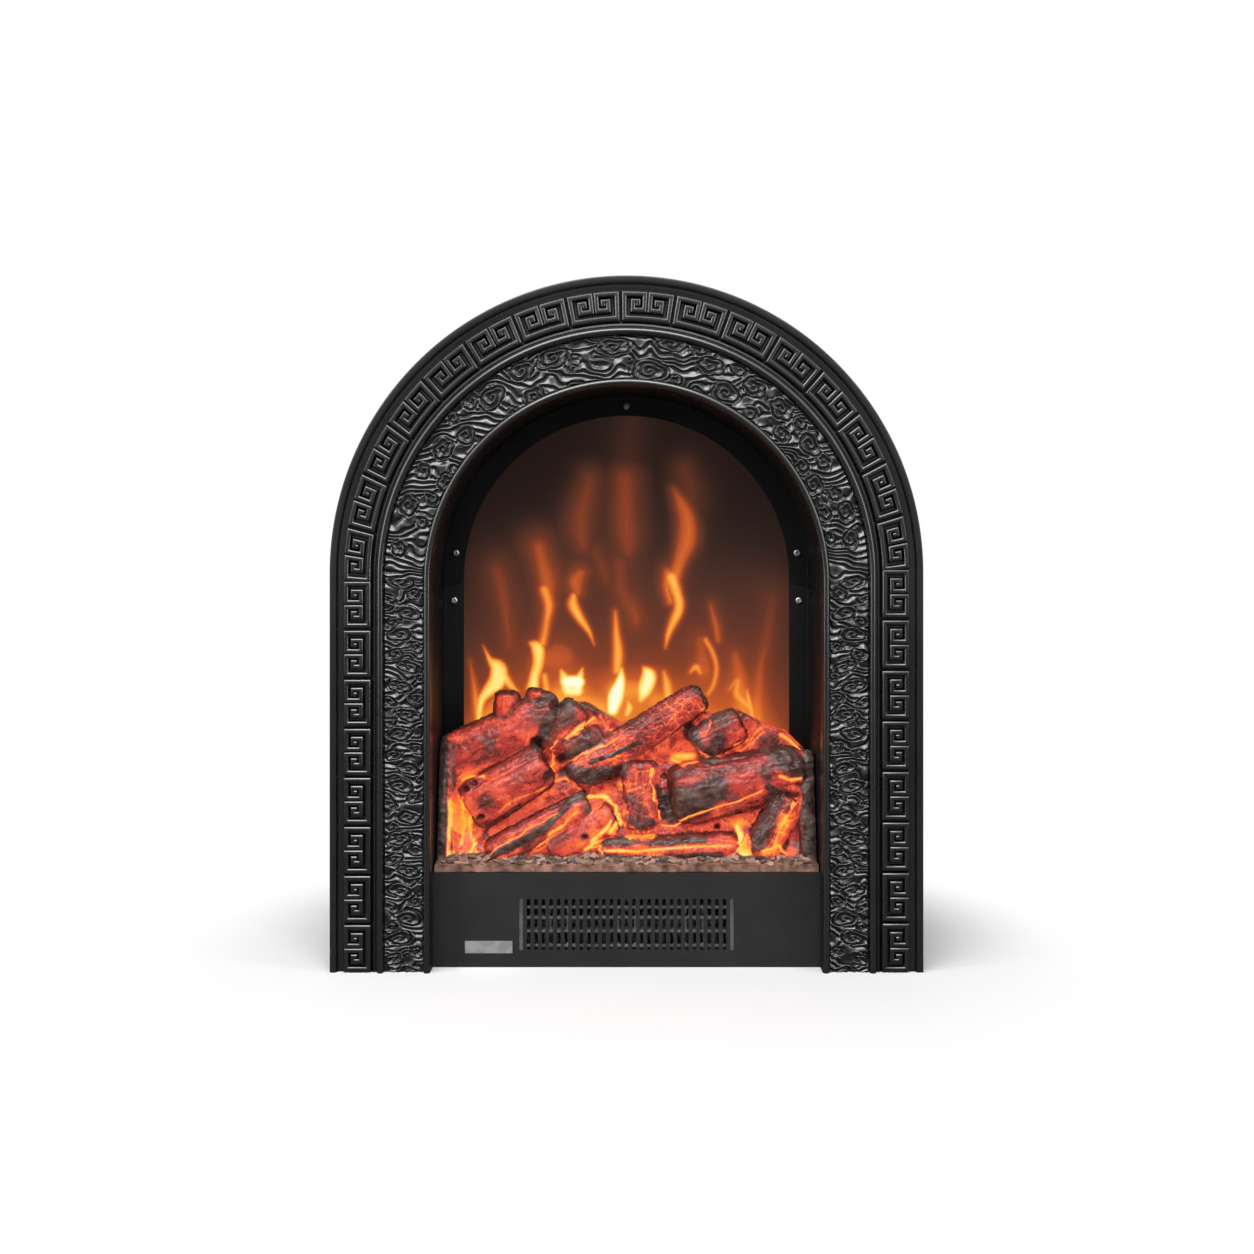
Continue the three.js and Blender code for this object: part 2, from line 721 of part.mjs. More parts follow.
function logGeometry({ from, to, radius }, seed) {
  const start = bedPoint(from);
  const end = bedPoint(to);
  const along = end.clone().sub(start).normalize();
  const side = new THREE.Vector3(0, 1, 0).cross(along).normalize();
  const third = along.clone().cross(side);
  const rings = [];
  for (let ring = 0; ring <= logRings; ring += 1) {
    const centre = start.clone().lerp(end, ring / logRings);
    rings.push(Array.from({ length: logSides }, (unused, point) => {
      const angle = 2 * Math.PI * point / logSides;
      const bark = 1 + barkShare * (Math.sin(3 * angle + seed + ring) + Math.sin(2 * ring + 5 * seed));
      const reach = radius * logSetHeight * bark;
      return centre.clone()
        .addScaledVector(side, reach * Math.cos(angle))
        .addScaledVector(third, reach * Math.sin(angle));
    }));
  }
  const cap = Array.from({ length: logSides }, (unused, point) => {
    const angle = 2 * Math.PI * point / logSides;
    return new THREE.Vector2(Math.cos(angle), Math.sin(angle));
  });
  return loft(rings, cap);
}

function logSet() {
  const bed = logBed();
  const depth = bed.farY - bed.nearY;
  const heap = run(
    polygon(heapShares.map(([back, up]) => [bed.nearY + back * depth, standZ + up * logSetHeight])),
    -bed.halfWidth, bed.halfWidth);
  const whole = join(heap, ...logShares.map((log, index) => logGeometry(log, index)));
  const space = block(
    [-bed.halfWidth, bed.halfWidth], [bed.nearY, bed.farY], [standZ, standZ + logSetHeight]);
  const caveHalfWidth = bed.halfWidth - emberCaveSideWall;
  const cave = block(
    [-caveHalfWidth, caveHalfWidth],
    [bed.farY - depth / 2, bed.farY - logWall],
    [standZ - cutOverrun, standZ + emberCaveHeight]);
  return cut(overlapOf(whole, space), cave);
}

// A strip of lamps on a circuit board
function lampStrip(halfLength, middleY, width, count) {
  const board = block([-halfLength, halfLength], [middleY - width / 2, middleY + width / 2],
    [standZ, standZ + emberBoardThickness]);
  const pitch = 2 * halfLength / count;
  const lamps = Array.from({ length: count }, (unused, index) => {
    const x = (index - (count - 1) / 2) * pitch;
    const half = emberLampSize / 2;
    return block([x - half, x + half], [middleY - half, middleY + half],
      [standZ + emberBoardThickness / 2, standZ + emberBoardThickness + half]);
  });
  return join(board, ...lamps);
}

function emberLampBoard() {
  const halfLength = logBed().halfWidth - emberBoardInset;
  return lampStrip(halfLength, logBed().farY - logWall - emberBoardWidth, emberBoardWidth, emberLampCount);
}

function flameLampBoard() {
  const middleY = templateBackY + lampStripGap + lampStripWidth / 2;
  return lampStrip(screenRadius - lampStripInset, middleY, lampStripWidth, lampCount);
}

// Blower housing: a scroll under the wheel, a tongue above its mouth and two end plates
const mouthHalfWidth = ductHalfWidth;
const scrollStartDegrees = 25;
const scrollEndDegrees = -95;
const tongueDegrees = 118;
const mouthY = insideFrontY + ductDepth;

function fanPoint(radius, degrees) {
  const angle = THREE.MathUtils.degToRad(degrees);
  return new THREE.Vector2(fanY + radius * Math.cos(angle), fanZ + radius * Math.sin(angle));
}

function scrollLine() {
  const steps = 10;
  const points = [];
  for (let step = 0; step <= steps; step += 1) {
    const share = step / steps;
    const degrees = THREE.MathUtils.lerp(scrollStartDegrees, scrollEndDegrees, share);
    points.push(fanPoint(wheelRadius + scrollGap + scrollGrowth * share, degrees));
  }
  points.push(new THREE.Vector2(mouthY + seatGap, ductBottom + scrollSheet / 2));
  return points;
}

function endPlate(leftX) {
  const reach = wheelRadius + scrollGap + scrollGrowth;
  const outline = polygon([
    [mouthY + seatGap, floorInsideZ],
    [fanY + reach, floorInsideZ],
    [fanY + reach, fanZ + wheelRadius / 2],
    [fanY + wheelRadius / 2, fanZ + wheelRadius + scrollGap],
    [mouthY + seatGap, ductTop],
  ]);
  return run(outline, leftX, leftX + scrollSheet);
}

function blowerHousing() {
  const tongue = [
    fanPoint(wheelRadius + scrollGap, tongueDegrees),
    new THREE.Vector2(mouthY + seatGap, ductTop - scrollSheet / 2),
  ];
  const scroll = run(ribbonShape(scrollLine(), scrollSheet), -mouthHalfWidth, mouthHalfWidth);
  const tongueSheet = run(ribbonShape(tongue, scrollSheet), -mouthHalfWidth, mouthHalfWidth);
  const ends = [endPlate(-mouthHalfWidth), endPlate(mouthHalfWidth - scrollSheet)];
  const bushHole = rodX(boreRadius(bushRadius + seatGap),
    -mouthHalfWidth - cutOverrun, mouthHalfWidth + cutOverrun, fanY, fanZ);
  return cut(join(...ends, scroll, tongueSheet), bushHole);
}

// Tangential wheel: three discs joined by blades that curve forwards
const bladeSteps = 2;
const bladeSweepDegrees = 22;

function wheelDisc(leftX) {
  return rodX(wheelRadius, leftX, leftX + wheelDiscThickness, fanY, fanZ, bladeCount);
}

function bladeGeometry(index, leftX, rightX) {
  const turn = 360 * index / bladeCount;
  const line = [];
  for (let step = 0; step <= bladeSteps; step += 1) {
    const share = step / bladeSteps;
    const radius = THREE.MathUtils.lerp(wheelInnerRadius, wheelRadius - bladeThickness, share);
    line.push(fanPoint(radius, turn + bladeSweepDegrees * share * share));
  }
  return run(ribbonShape(line, bladeThickness), leftX, rightX);
}

function impeller() {
  const half = mouthHalfWidth - scrollSheet - wheelEndGap;
  const discs = [-half, -wheelDiscThickness / 2, half - wheelDiscThickness].map(wheelDisc);
  const blades = Array.from({ length: bladeCount }, (unused, index) => (
    bladeGeometry(index, -half + wheelDiscThickness / 2, half - wheelDiscThickness / 2)));
  const bore = rodX(boreRadius(shaftRadius + runningGap), -half - cutOverrun, half + cutOverrun, fanY, fanZ);
  return cut(join(...discs, ...blades), bore);
}

const coreLeft = mouthHalfWidth + motorGap;
const coreRight = coreLeft + coreThickness;
const strapLeft = coreRight + motorStrapGap;
const fanShaftLeft = -mouthHalfWidth - bushLength;
const fanShaftRight = strapLeft + motorStrapSheet + bushLength;

function fanShaft() {
  return rodX(shaftRadius, fanShaftLeft, fanShaftRight, fanY, fanZ);
}

function bush(leftX, y, z) {
  const rightX = leftX + bushLength;
  const bore = rodX(boreRadius(shaftRadius + runningGap), leftX - cutOverrun, rightX + cutOverrun, y, z);
  return cut(rodX(bushRadius, leftX, rightX, y, z), bore);
}

function motorPostPlaces() {
  return [-1, 1].map((side) => [fanY - coreFront + postInset, fanZ + side * (coreHalfHeight - postInset)]);
}

function motorCore() {
  const outline = polygon([
    [fanY - coreFront, fanZ - coreHalfHeight],
    [fanY + coreBack, fanZ - coreHalfHeight],
    [fanY + coreBack, fanZ + coreHalfHeight],
    [fanY - coreFront, fanZ + coreHalfHeight],
  ]);
  const windowBack = fanY + coreBack - coreLegWidth;
  const windowHole = block(
    [coreLeft - cutOverrun, coreRight + cutOverrun],
    [windowBack - windowWidth, windowBack],
    [fanZ - windowHalfHeight, fanZ + windowHalfHeight]);
  const boreSize = boreRadius(rotorRadius + rotorAirGap);
  const bore = rodX(boreSize, coreLeft - cutOverrun, coreRight + cutOverrun, fanY, fanZ);
  const postHoleRadius = boreRadius(postRadius + seatGap, roundSides / 2);
  const postHoles = motorPostPlaces().map(([y, z]) => (
    rodX(postHoleRadius, coreLeft - cutOverrun, coreRight + cutOverrun, y, z, roundSides / 2)));
  return cut(run(outline, coreLeft, coreRight), windowHole, bore, ...postHoles);
}

function motorCoil() {
  const legFront = fanY + coreBack - coreLegWidth;
  const halfHeight = windowHalfHeight - seatGap;
  const winding = block(
    [coreLeft - coilOverhang, coreRight + coilOverhang],
    [legFront - coilBuild, fanY + coreBack + coilBuild],
    [fanZ - halfHeight, fanZ + halfHeight]);
  const leg = block(
    [coreLeft - seatGap, coreRight + seatGap],
    [legFront - seatGap, fanY + coreBack + seatGap],
    [fanZ - halfHeight - cutOverrun, fanZ + halfHeight + cutOverrun]);
  return cut(winding, leg);
}

function motorRotor() {
  return cut(
    rodX(rotorRadius, coreLeft - rotorOverhang, coreRight + rotorOverhang, fanY, fanZ),
    rodX(boreRadius(shaftRadius + runningGap), coreLeft - cutOverrun, coreRight + cutOverrun, fanY, fanZ));
}

function motorStrap() {
  const halfHeight = coreHalfHeight;
  const strap = block(
    [strapLeft, strapLeft + motorStrapSheet],
    [fanY - coreFront, fanY + bushRadius + postInset],
    [fanZ - halfHeight, fanZ + halfHeight]);
  const posts = motorPostPlaces().map(([y, z]) => (
    rodX(postRadius, mouthHalfWidth + seatGap, strapLeft + motorStrapSheet / 2, y, z, roundSides / 2)));
  const bushHoleRadius = boreRadius(bushRadius + seatGap);
  const bushHole = rodX(bushHoleRadius, strapLeft - cutOverrun, strapLeft + cutOverrun, fanY, fanZ);
  return join(cut(strap, bushHole), ...posts);
}

// Heater: a sheet duct from the blower's mouth to the grille and a finned core in it
function heaterDuct() {
  const nearY = insideFrontY;
  const farY = nearY + ductDepth;
  const tube = block([-ductHalfWidth, ductHalfWidth], [nearY, farY], [ductBottom, ductTop]);
  const bore = block(
    [-ductHalfWidth + scrollSheet, ductHalfWidth - scrollSheet],
    [nearY - cutOverrun, farY + cutOverrun],
    [ductBottom + scrollSheet, ductTop - scrollSheet]);
  const legs = [-1, 1].map((side) => {
    const outer = side * ductHalfWidth;
    const inner = side * (ductHalfWidth - scrollSheet);
    return block([Math.min(outer, inner), Math.max(outer, inner)],
      [nearY + panelReturn + seatGap, farY], [floorInsideZ, ductBottom + scrollSheet]);
  });
  return join(cut(tube, bore), ...legs);
}

const heaterBarShares = [0.08, 0.33, 0.57, 0.75];

function heaterCore() {
  const halfWidth = ductHalfWidth - scrollSheet - seatGap;
  const nearY = insideFrontY + (ductDepth - heaterDepth) / 2;
  const lowZ = ductBottom + scrollSheet + seatGap;
  const highZ = ductTop - scrollSheet - seatGap;
  const ends = [-1, 1].map((side) => block(
    [Math.min(side * halfWidth, side * (halfWidth - heaterEndWidth)),
      Math.max(side * halfWidth, side * (halfWidth - heaterEndWidth))],
    [nearY, nearY + heaterDepth], [lowZ, highZ]));
  const bars = heaterBarShares.map((share) => {
    const z = THREE.MathUtils.lerp(lowZ, highZ, share);
    return block([-halfWidth + heaterEndWidth / 2, halfWidth - heaterEndWidth / 2],
      [nearY, nearY + heaterDepth], [z - heaterBarHeight / 2, z + heaterBarHeight / 2]);
  });
  const finInset = heaterDepth / 8;
  const pitch = 2 * (halfWidth - heaterEndWidth) / heaterFinCount;
  const lowBar = THREE.MathUtils.lerp(lowZ, highZ, heaterBarShares.at(0));
  const highBar = THREE.MathUtils.lerp(lowZ, highZ, heaterBarShares.at(-1));
  const fins = Array.from({ length: heaterFinCount }, (unused, index) => {
    const x = (index - (heaterFinCount - 1) / 2) * pitch;
    return block([x - heaterFinThickness / 2, x + heaterFinThickness / 2],
      [nearY + finInset, nearY + heaterDepth - finInset], [lowBar, highBar]);
  });
  return join(...ends, ...bars, ...fins);
}

function thermalCutout() {
  const y = insideFrontY + ductDepth / 2;
  const low = ductTop + seatGap;
  return rodZ(cutoutRadius, low, low + cutoutHeight, 0, y);
}

// Flame rotor: a shaft with a sleeve of bright vanes, carried between two brackets
function flameVanes() {
  const half = flameShaftHalfLength - bracketSheet - wheelEndGap - bushLength;
  const sleeve = rodX(flameSleeveRadius, -half, half, flameY, flameZ, roundSides / 2);
  const pitch = 2 * half / vaneCount;
  const vanes = Array.from({ length: vaneCount }, (unused, index) => {
    const middle = (index - (vaneCount - 1) / 2) * pitch;
    const vane = block([-pitch / 2 + vaneThickness, pitch / 2 - vaneThickness],
      [-vaneRadius, vaneRadius], [-vaneThickness / 2, vaneThickness / 2]);
    return vane.rotateX(THREE.MathUtils.degToRad(index * vaneTurnDegrees)).translate(middle, flameY, flameZ);
  });
  const boreSize = boreRadius(shaftRadius + runningGap);
  const bore = rodX(boreSize, -half - cutOverrun, half + cutOverrun, flameY, flameZ);
  return cut(join(sleeve, ...vanes), bore);
}

function flameShaft() {
  return rodX(shaftRadius, -flameShaftHalfLength, flameShaftHalfLength + flameMotorDepth / 2, flameY, flameZ);
}

// A bracket folded from sheet: an upright with a foot on the shelf
function flameBracket(side) {
  const inner = side * (flameShaftHalfLength - bracketSheet);
  const outer = side * flameShaftHalfLength;
  const footEnd = side * (flameShaftHalfLength - bracketFoot);
  const upright = block([Math.min(inner, outer), Math.max(inner, outer)],
    [flameY - bracketWidth / 2, flameY + bracketWidth / 2], [standZ, flameZ + bracketWidth / 2]);
  const foot = block([Math.min(footEnd, outer), Math.max(footEnd, outer)],
    [flameY - bracketWidth / 2, flameY + bracketWidth / 2], [standZ, standZ + bracketSheet]);
  const hole = rodX(boreRadius(bushRadius + seatGap),
    Math.min(inner, outer) - cutOverrun, Math.max(inner, outer) + cutOverrun, flameY, flameZ);
  return cut(join(upright, foot), hole);
}

function flameMotor() {
  const left = flameShaftHalfLength + seatGap;
  const can = rodX(vaneRadius, left, left + flameMotorDepth, flameY, flameZ);
  const boss = rodX(bushRadius, flameShaftHalfLength - bushLength, left + bracketSheet, flameY, flameZ);
  const bore = rodX(boreRadius(shaftRadius + runningGap), flameShaftHalfLength - bushLength - cutOverrun,
    flameShaftHalfLength + flameMotorDepth / 2 + seatGap, flameY, flameZ);
  return cut(join(can, boss), bore);
}

// Flame template: a bright sheet with flame-shaped openings, on a folded foot. Each row gives the
// middle of an opening as a share of the half width, its height, width and lean as shares of the height
const flameShares = [
  [-0.82, 0.5, 0.12, 0.08], [-0.6, 0.75, 0.14, -0.06], [-0.36, 0.55, 0.13, 0.1], [-0.15, 0.85, 0.15, 0.05],
  [0.08, 0.6, 0.13, -0.08], [0.3, 0.9, 0.15, 0.08], [0.52, 0.55, 0.13, -0.05], [0.74, 0.7, 0.14, 0.07],
];
const flameFootShare = 0.06;

function flameTemplate() {
  const farY = templateBackY;
  const top = standZ + templateHeight;
  const halfWidth = screenRadius + templateLap;
  const face = polygon([[-halfWidth, standZ], [halfWidth, standZ], [halfWidth, top], [-halfWidth, top]]);
  for (const [sideways, rise, width, lean] of flameShares) {
    const x = sideways * halfWidth;
    const low = standZ + templateHeight * flameFootShare;
    const high = low + (templateHeight - 2 * (low - standZ)) * rise;
    const belly = THREE.MathUtils.lerp(low, high, 1 / 4);
    const half = width * templateHeight / 2;
    const flame = new THREE.Path();
    flame.moveTo(x, low);
    flame.quadraticCurveTo(x + half, low, x + half, belly);
    flame.quadraticCurveTo(x + half / 2, (belly + high) / 2, x + lean * templateHeight, high);
    flame.quadraticCurveTo(x - half / 2, (belly + high) / 2, x - half, belly);
    flame.quadraticCurveTo(x - half, low, x, low);
    face.holes.push(flame);
  }
  const foot = block([-halfWidth, halfWidth], [farY - templateFoot, farY], [standZ, standZ + templateSheet]);
  return join(plate(face, farY - templateSheet, farY, slotSteps), foot);
}

// Control board on four standoffs, with its relay, transformer and terminal block
const boardMiddleX = -(ductHalfWidth + casingHalfWidth) / 2;
const boardMiddleY = 0;
const boardBlockShares = [
  [-0.28, -0.2, 0.3, 0.45, 0.26], [0.22, -0.15, 0.28, 0.4, 0.2], [0, 0.34, 0.7, 0.18, 0.14],
];

function boardCorners() {
  const reachX = boardWidth / 2 - boardMargin;
  const reachY = boardLength / 2 - boardMargin;
  return [[-1, -1], [1, -1], [1, 1], [-1, 1]].map(([sideX, sideY]) => (
    [boardMiddleX + sideX * reachX, boardMiddleY + sideY * reachY]));
}

function controlBoard() {
  const low = floorInsideZ + standoffHeight + seatGap;
  const deck = block([boardMiddleX - boardWidth / 2, boardMiddleX + boardWidth / 2],
    [boardMiddleY - boardLength / 2, boardMiddleY + boardLength / 2], [low, low + boardThickness]);
  const parts = boardBlockShares.map(([across, back, wide, deep, tall]) => {
    const x = boardMiddleX + across * boardWidth;
    const y = boardMiddleY + back * boardLength;
    return block([x - wide * boardWidth / 2, x + wide * boardWidth / 2],
      [y - deep * boardLength / 2, y + deep * boardLength / 2],
      [low + boardThickness / 2, low + boardThickness + tall * boardLength]);
  });
  return join(deck, ...parts);
}

function boardStandoff([x, y]) {
  return rodZ(standoffRadius, floorInsideZ, floorInsideZ + standoffHeight, x, y, roundSides / 2);
}

// Power switch on the back cover: a housing with a bezel and a rocker that tilts in it
function switchInnerHalfWidth() {
  return switchWidth / 2 - switchBezel;
}

function switchInnerHalfHeight() {
  return switchHeight / 2 - switchBezel;
}

function switchHousing() {
  const bezelFrontY = coverBackY + seatGap;
  const bezel = block(
    [switchX - switchWidth / 2, switchX + switchWidth / 2],
    [bezelFrontY, bezelFrontY + switchBezel],
    [switchZ - switchHeight / 2, switchZ + switchHeight / 2]);
  const shell = block(
    [switchX - switchInnerHalfWidth(), switchX + switchInnerHalfWidth()],
    [bezelFrontY + switchBezel / 2 - switchDepth, bezelFrontY + switchBezel / 2],
    [switchZ - switchInnerHalfHeight(), switchZ + switchInnerHalfHeight()]);
  const wellX = switchInnerHalfWidth() - switchWall;
  const wellZ = switchInnerHalfHeight() - switchWall;
  const well = block(
    [switchX - wellX, switchX + wellX],
    [bezelFrontY - switchDepth / 2, bezelFrontY + switchBezel + cutOverrun],
    [switchZ - wellZ, switchZ + wellZ]);
  return cut(join(bezel, shell), well);
}

function rockerPivotY() {
  return coverBackY + seatGap + switchBezel - rockerProud;
}

// The rocker's section on Y and Z is a shallow V whose lower half stands out at rest
function switchRocker() {
  const halfWidth = switchInnerHalfWidth() - switchWall - seatGap;
  const reach = switchInnerHalfHeight() - switchWall - rockerEndGap;
  const tilt = THREE.MathUtils.degToRad(rockerTiltDegrees);
  const section = polygon([
    [-rockerProud, 0],
    [0, -reach],
    [rockerProud + Math.sin(tilt) * reach / 2, -reach],
    [rockerProud, 0],
    [rockerProud + Math.sin(tilt) * reach / 2, reach],
    [0, reach],
  ]);
  const body = run(section, -halfWidth, halfWidth);
  body.rotateX(tilt);
  return body.translate(switchX, rockerPivotY(), switchZ);
}

// Gland: a bush for the supply lead
function cordGland() {
  const [nearY, farY] = [coverFrontY - glandTail, coverBackY + glandProud];
  const flange = rodY(glandFlangeRadius, coverBackY + seatGap, farY, glandX, glandHeight);
  const neck = rodY(glandNeckRadius, nearY, farY - glandProud / 2, glandX, glandHeight);
  const bore = rodY(boreRadius(glandBoreRadius), nearY - cutOverrun, farY + cutOverrun, glandX, glandHeight);
  return cut(join(flange, neck), bore);
}

// Assembly
add('surround', surround(), finishes.satinBlack());
add('lower_panel', lowerPanel(), finishes.powderBlack());
add('casing_wrap', casingWrap(), finishes.matteBlack());
add('base_plate', basePlate(), finishes.matteBlack());
add('shelf_plate', shelfPlate(), finishes.matteBlack());
add('back_cover', backCover(), finishes.matteBlack());
add('liner_hood', linerHood(), finishes.matteBlack());
add('liner_left', linerSide(-1), finishes.matteBlack());
add('liner_right', linerSide(1), finishes.matteBlack());
hoodScrewPlaces().forEach((place, index) => {
  add(`hood_screw_${index + 1}`, linerScrew(place), finishes.steel());
});
add('jamb_screw_left', linerScrew(jambScrewPlace(-1)), finishes.steel());
add('jamb_screw_right', linerScrew(jambScrewPlace(1)), finishes.steel());
add('screen_frame', screenFrame(), finishes.matteBlack());
add('flame_screen', flameScreen(), finishes.smoked());
add('log_set', logSet(), finishes.ember());
add('ember_lamp_board', emberLampBoard(), finishes.circuit());
add('flame_lamp_board', flameLampBoard(), finishes.circuit());
add('flame_template', flameTemplate(), finishes.mirror());
add('flame_rotor_vanes', flameVanes(), finishes.mirror());
add('flame_rotor_shaft', flameShaft(), finishes.steel());
add('flame_bracket_left', flameBracket(-1), finishes.galvanised());
add('flame_bracket_right', flameBracket(1), finishes.galvanised());
add('flame_rotor_bush', bush(-flameShaftHalfLength, flameY, flameZ), finishes.bronze());
add('flame_rotor_motor', flameMotor(), finishes.galvanised());
add('blower_housing', blowerHousing(), finishes.galvanised());
add('blower_wheel', impeller(), finishes.aluminium());
add('blower_shaft', fanShaft(), finishes.steel());
add('blower_bush', bush(-mouthHalfWidth - bushLength / 2, fanY, fanZ), finishes.bronze());
add('motor_core', motorCore(), finishes.laminated());
add('motor_coil', motorCoil(), finishes.copper());
add('motor_rotor', motorRotor(), finishes.laminated());
add('motor_strap', motorStrap(), finishes.galvanised());
add('motor_bush', bush(strapLeft - motorStrapGap / 2, fanY, fanZ), finishes.bronze());
add('heater_duct', heaterDuct(), finishes.galvanised());
add('heater_core', heaterCore(), finishes.aluminium());
add('thermal_cutout', thermalCutout(), finishes.black());
add('control_board', controlBoard(), finishes.circuit());
boardCorners().forEach((place, index) => {
  add(`board_standoff_${index + 1}`, boardStandoff(place), finishes.black());
});
add('switch_housing', switchHousing(), finishes.black());
add('switch_rocker', switchRocker(), finishes.black());
add('cord_gland', cordGland(), finishes.black());

export default insert;
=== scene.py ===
# %% [markdown]
# # An electric fireplace insert, dressed in Blender
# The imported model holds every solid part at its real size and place. This lesson loads it as a
# fixed frame, makes the surfaces that the eye reads, such as the moulding, the carved bands, the
# bark and the flames, and gives each part that stays a finish of its own.

# %% Load the frame
import math

import bpy
import numpy as np
from mathutils import Matrix, Vector


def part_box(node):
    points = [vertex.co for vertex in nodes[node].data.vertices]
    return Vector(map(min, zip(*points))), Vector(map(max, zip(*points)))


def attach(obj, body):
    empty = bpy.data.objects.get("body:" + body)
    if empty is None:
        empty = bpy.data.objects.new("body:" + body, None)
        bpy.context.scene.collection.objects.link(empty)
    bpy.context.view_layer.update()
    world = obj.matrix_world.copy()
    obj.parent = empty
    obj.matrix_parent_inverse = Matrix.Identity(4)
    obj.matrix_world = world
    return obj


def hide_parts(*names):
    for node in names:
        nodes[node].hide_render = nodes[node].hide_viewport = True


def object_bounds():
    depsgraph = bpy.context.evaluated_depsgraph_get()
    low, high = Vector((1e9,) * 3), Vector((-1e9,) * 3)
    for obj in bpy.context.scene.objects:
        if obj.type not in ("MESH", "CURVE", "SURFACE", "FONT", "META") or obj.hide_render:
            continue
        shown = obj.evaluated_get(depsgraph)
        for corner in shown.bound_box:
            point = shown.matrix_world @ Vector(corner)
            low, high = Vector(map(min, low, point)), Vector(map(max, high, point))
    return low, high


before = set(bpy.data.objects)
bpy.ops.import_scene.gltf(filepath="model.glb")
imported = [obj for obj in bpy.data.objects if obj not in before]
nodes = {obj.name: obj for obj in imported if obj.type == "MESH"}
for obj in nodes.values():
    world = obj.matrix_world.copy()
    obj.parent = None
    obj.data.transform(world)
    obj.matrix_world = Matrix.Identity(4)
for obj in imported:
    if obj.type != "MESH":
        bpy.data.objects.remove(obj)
cad_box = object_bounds()
mm = 0.001
print("nodes:", len(nodes), "box of the frame:", [list(corner) for corner in cad_box])

# %% [markdown]
# ## The camera
# The photograph was taken from straight in front, with the lens a little above the middle of the
# firebox. The vanishing point of the side walls gives that height, and their width at the front
# and at the back gives the distance. The lens is shifted down instead of the camera being tilted,
# so that upright lines stay upright, as they are in the photograph.

# %% Camera
photo_side = 1254
photo_middle_x = 626.5
photo_horizon = 530
front_plane_y = cad_box[0][1]
camera_distance = 1500 * mm
camera_height = 446.7 * mm
front_scale = 1.0067 * mm
film_width_mm = 36

bpy.ops.object.camera_add(
    location=(0, front_plane_y - camera_distance, camera_height), rotation=(math.pi / 2, 0, 0))
camera = bpy.context.active_object
camera.name = "photo_camera"
camera.data.sensor_width = film_width_mm
camera.data.lens = film_width_mm * camera_distance / (photo_side * front_scale)
camera.data.shift_x = (photo_side / 2 - photo_middle_x) / photo_side
camera.data.shift_y = (photo_horizon - photo_side / 2) / photo_side
bpy.context.scene.camera = camera
print("lens", round(camera.data.lens, 2), "shift", round(camera.data.shift_y, 4))


def from_photo(across, down, y):
    """The place that a pixel of the photograph shows, where it lies at depth y."""
    scale = front_scale * (y - camera.location.y) / camera_distance
    return (across - photo_middle_x) * scale, camera_height + (photo_horizon - down) * scale


# %% [markdown]
# ## Floor, background and light
# The insert stands on a white sweep under soft light from above and from both sides. The floor is
# a little grey for the lamps and white for the camera's straight view of the far ground, so that
# only the contact shadow shows. A black moulding shows its form mostly by what it reflects: white
# all round, a darker room behind the lens, and large soft lamps that run along the beads.

# %% Building with nodes
def new_material(name):
    material = bpy.data.materials.new(name)
    material.use_nodes = True
    return material, material.node_tree.nodes, material.node_tree.links


def add_node(tree, kind, values=None, **settings):
    """Adds a node, sets its properties, and sets or links its inputs by name or number."""
    node = tree.nodes.new(kind)
    for key, value in settings.items():
        setattr(node, key, value)
    for key, value in (values or {}).items():
        if isinstance(value, bpy.types.NodeSocket):
            tree.links.new(value, node.inputs[key])
        else:
            node.inputs[key].default_value = value
    return node


def varied(tree, value, low, high, start=0.25, end=0.75, soft=False):
    """A value that runs from low to high as the given one runs from start to end."""
    return add_node(tree, "ShaderNodeMapRange", {
        "Value": value, "From Min": start, "From Max": end, "To Min": low, "To Max": high},
        interpolation_type="SMOOTHSTEP" if soft else "LINEAR").outputs[0]


def worked(tree, operation, first, second=0.5, clamp=False):
    """The result of one sum on two values, each a number or a socket."""
    return add_node(tree, "ShaderNodeMath", {0: first, 1: second}, operation=operation,
                    use_clamp=clamp).outputs[0]


# %% Floor
white = (1.0, 1.0, 1.0, 1.0)
sweep_side = 16
floor_darkest, floor_lightest = 0.76, 0.78
floor_in_mirrors = 0.14
shadow_reach, white_reach = 0.3, 0.5

bpy.ops.mesh.primitive_plane_add(size=sweep_side, location=(0, 0, 0))
floor = bpy.context.active_object
floor.name = "floor"
floor_material, _, _ = new_material("white_sweep")
tree = floor_material.node_tree
floor_shader = tree.nodes["Principled BSDF"]
floor_shader.inputs["Roughness"].default_value = 0.7
floor_shader.inputs["Specular IOR Level"].default_value = 0.1
floor_grain = add_node(tree, "ShaderNodeTexNoise", {"Scale": 40.0, "Detail": 3.0})
floor_tint = varied(tree, floor_grain.outputs["Fac"], floor_darkest, floor_lightest, 0.0, 1.0)
watched = add_node(tree, "ShaderNodeLightPath")
in_view = varied(tree, watched.outputs["Is Glossy Ray"], 1.0, floor_in_mirrors, 0.0, 1.0)
floor_level = worked(tree, "MULTIPLY", floor_tint, in_view)
floor_colour = add_node(tree, "ShaderNodeCombineColor", {
    "Red": floor_level, "Green": floor_level, "Blue": floor_level})
tree.links.new(floor_colour.outputs[0], floor_shader.inputs["Base Color"])
ground = add_node(tree, "ShaderNodeTexCoord")
reach = add_node(tree, "ShaderNodeVectorMath", {0: ground.outputs["Object"]}, operation="LENGTH")
far = varied(tree, reach.outputs["Value"], 0.0, 1.0, shadow_reach, white_reach, soft=True)
shown = worked(tree, "MULTIPLY", far, watched.outputs["Is Camera Ray"])
bright = add_node(tree, "ShaderNodeEmission", {"Color": white, "Strength": 1.0})
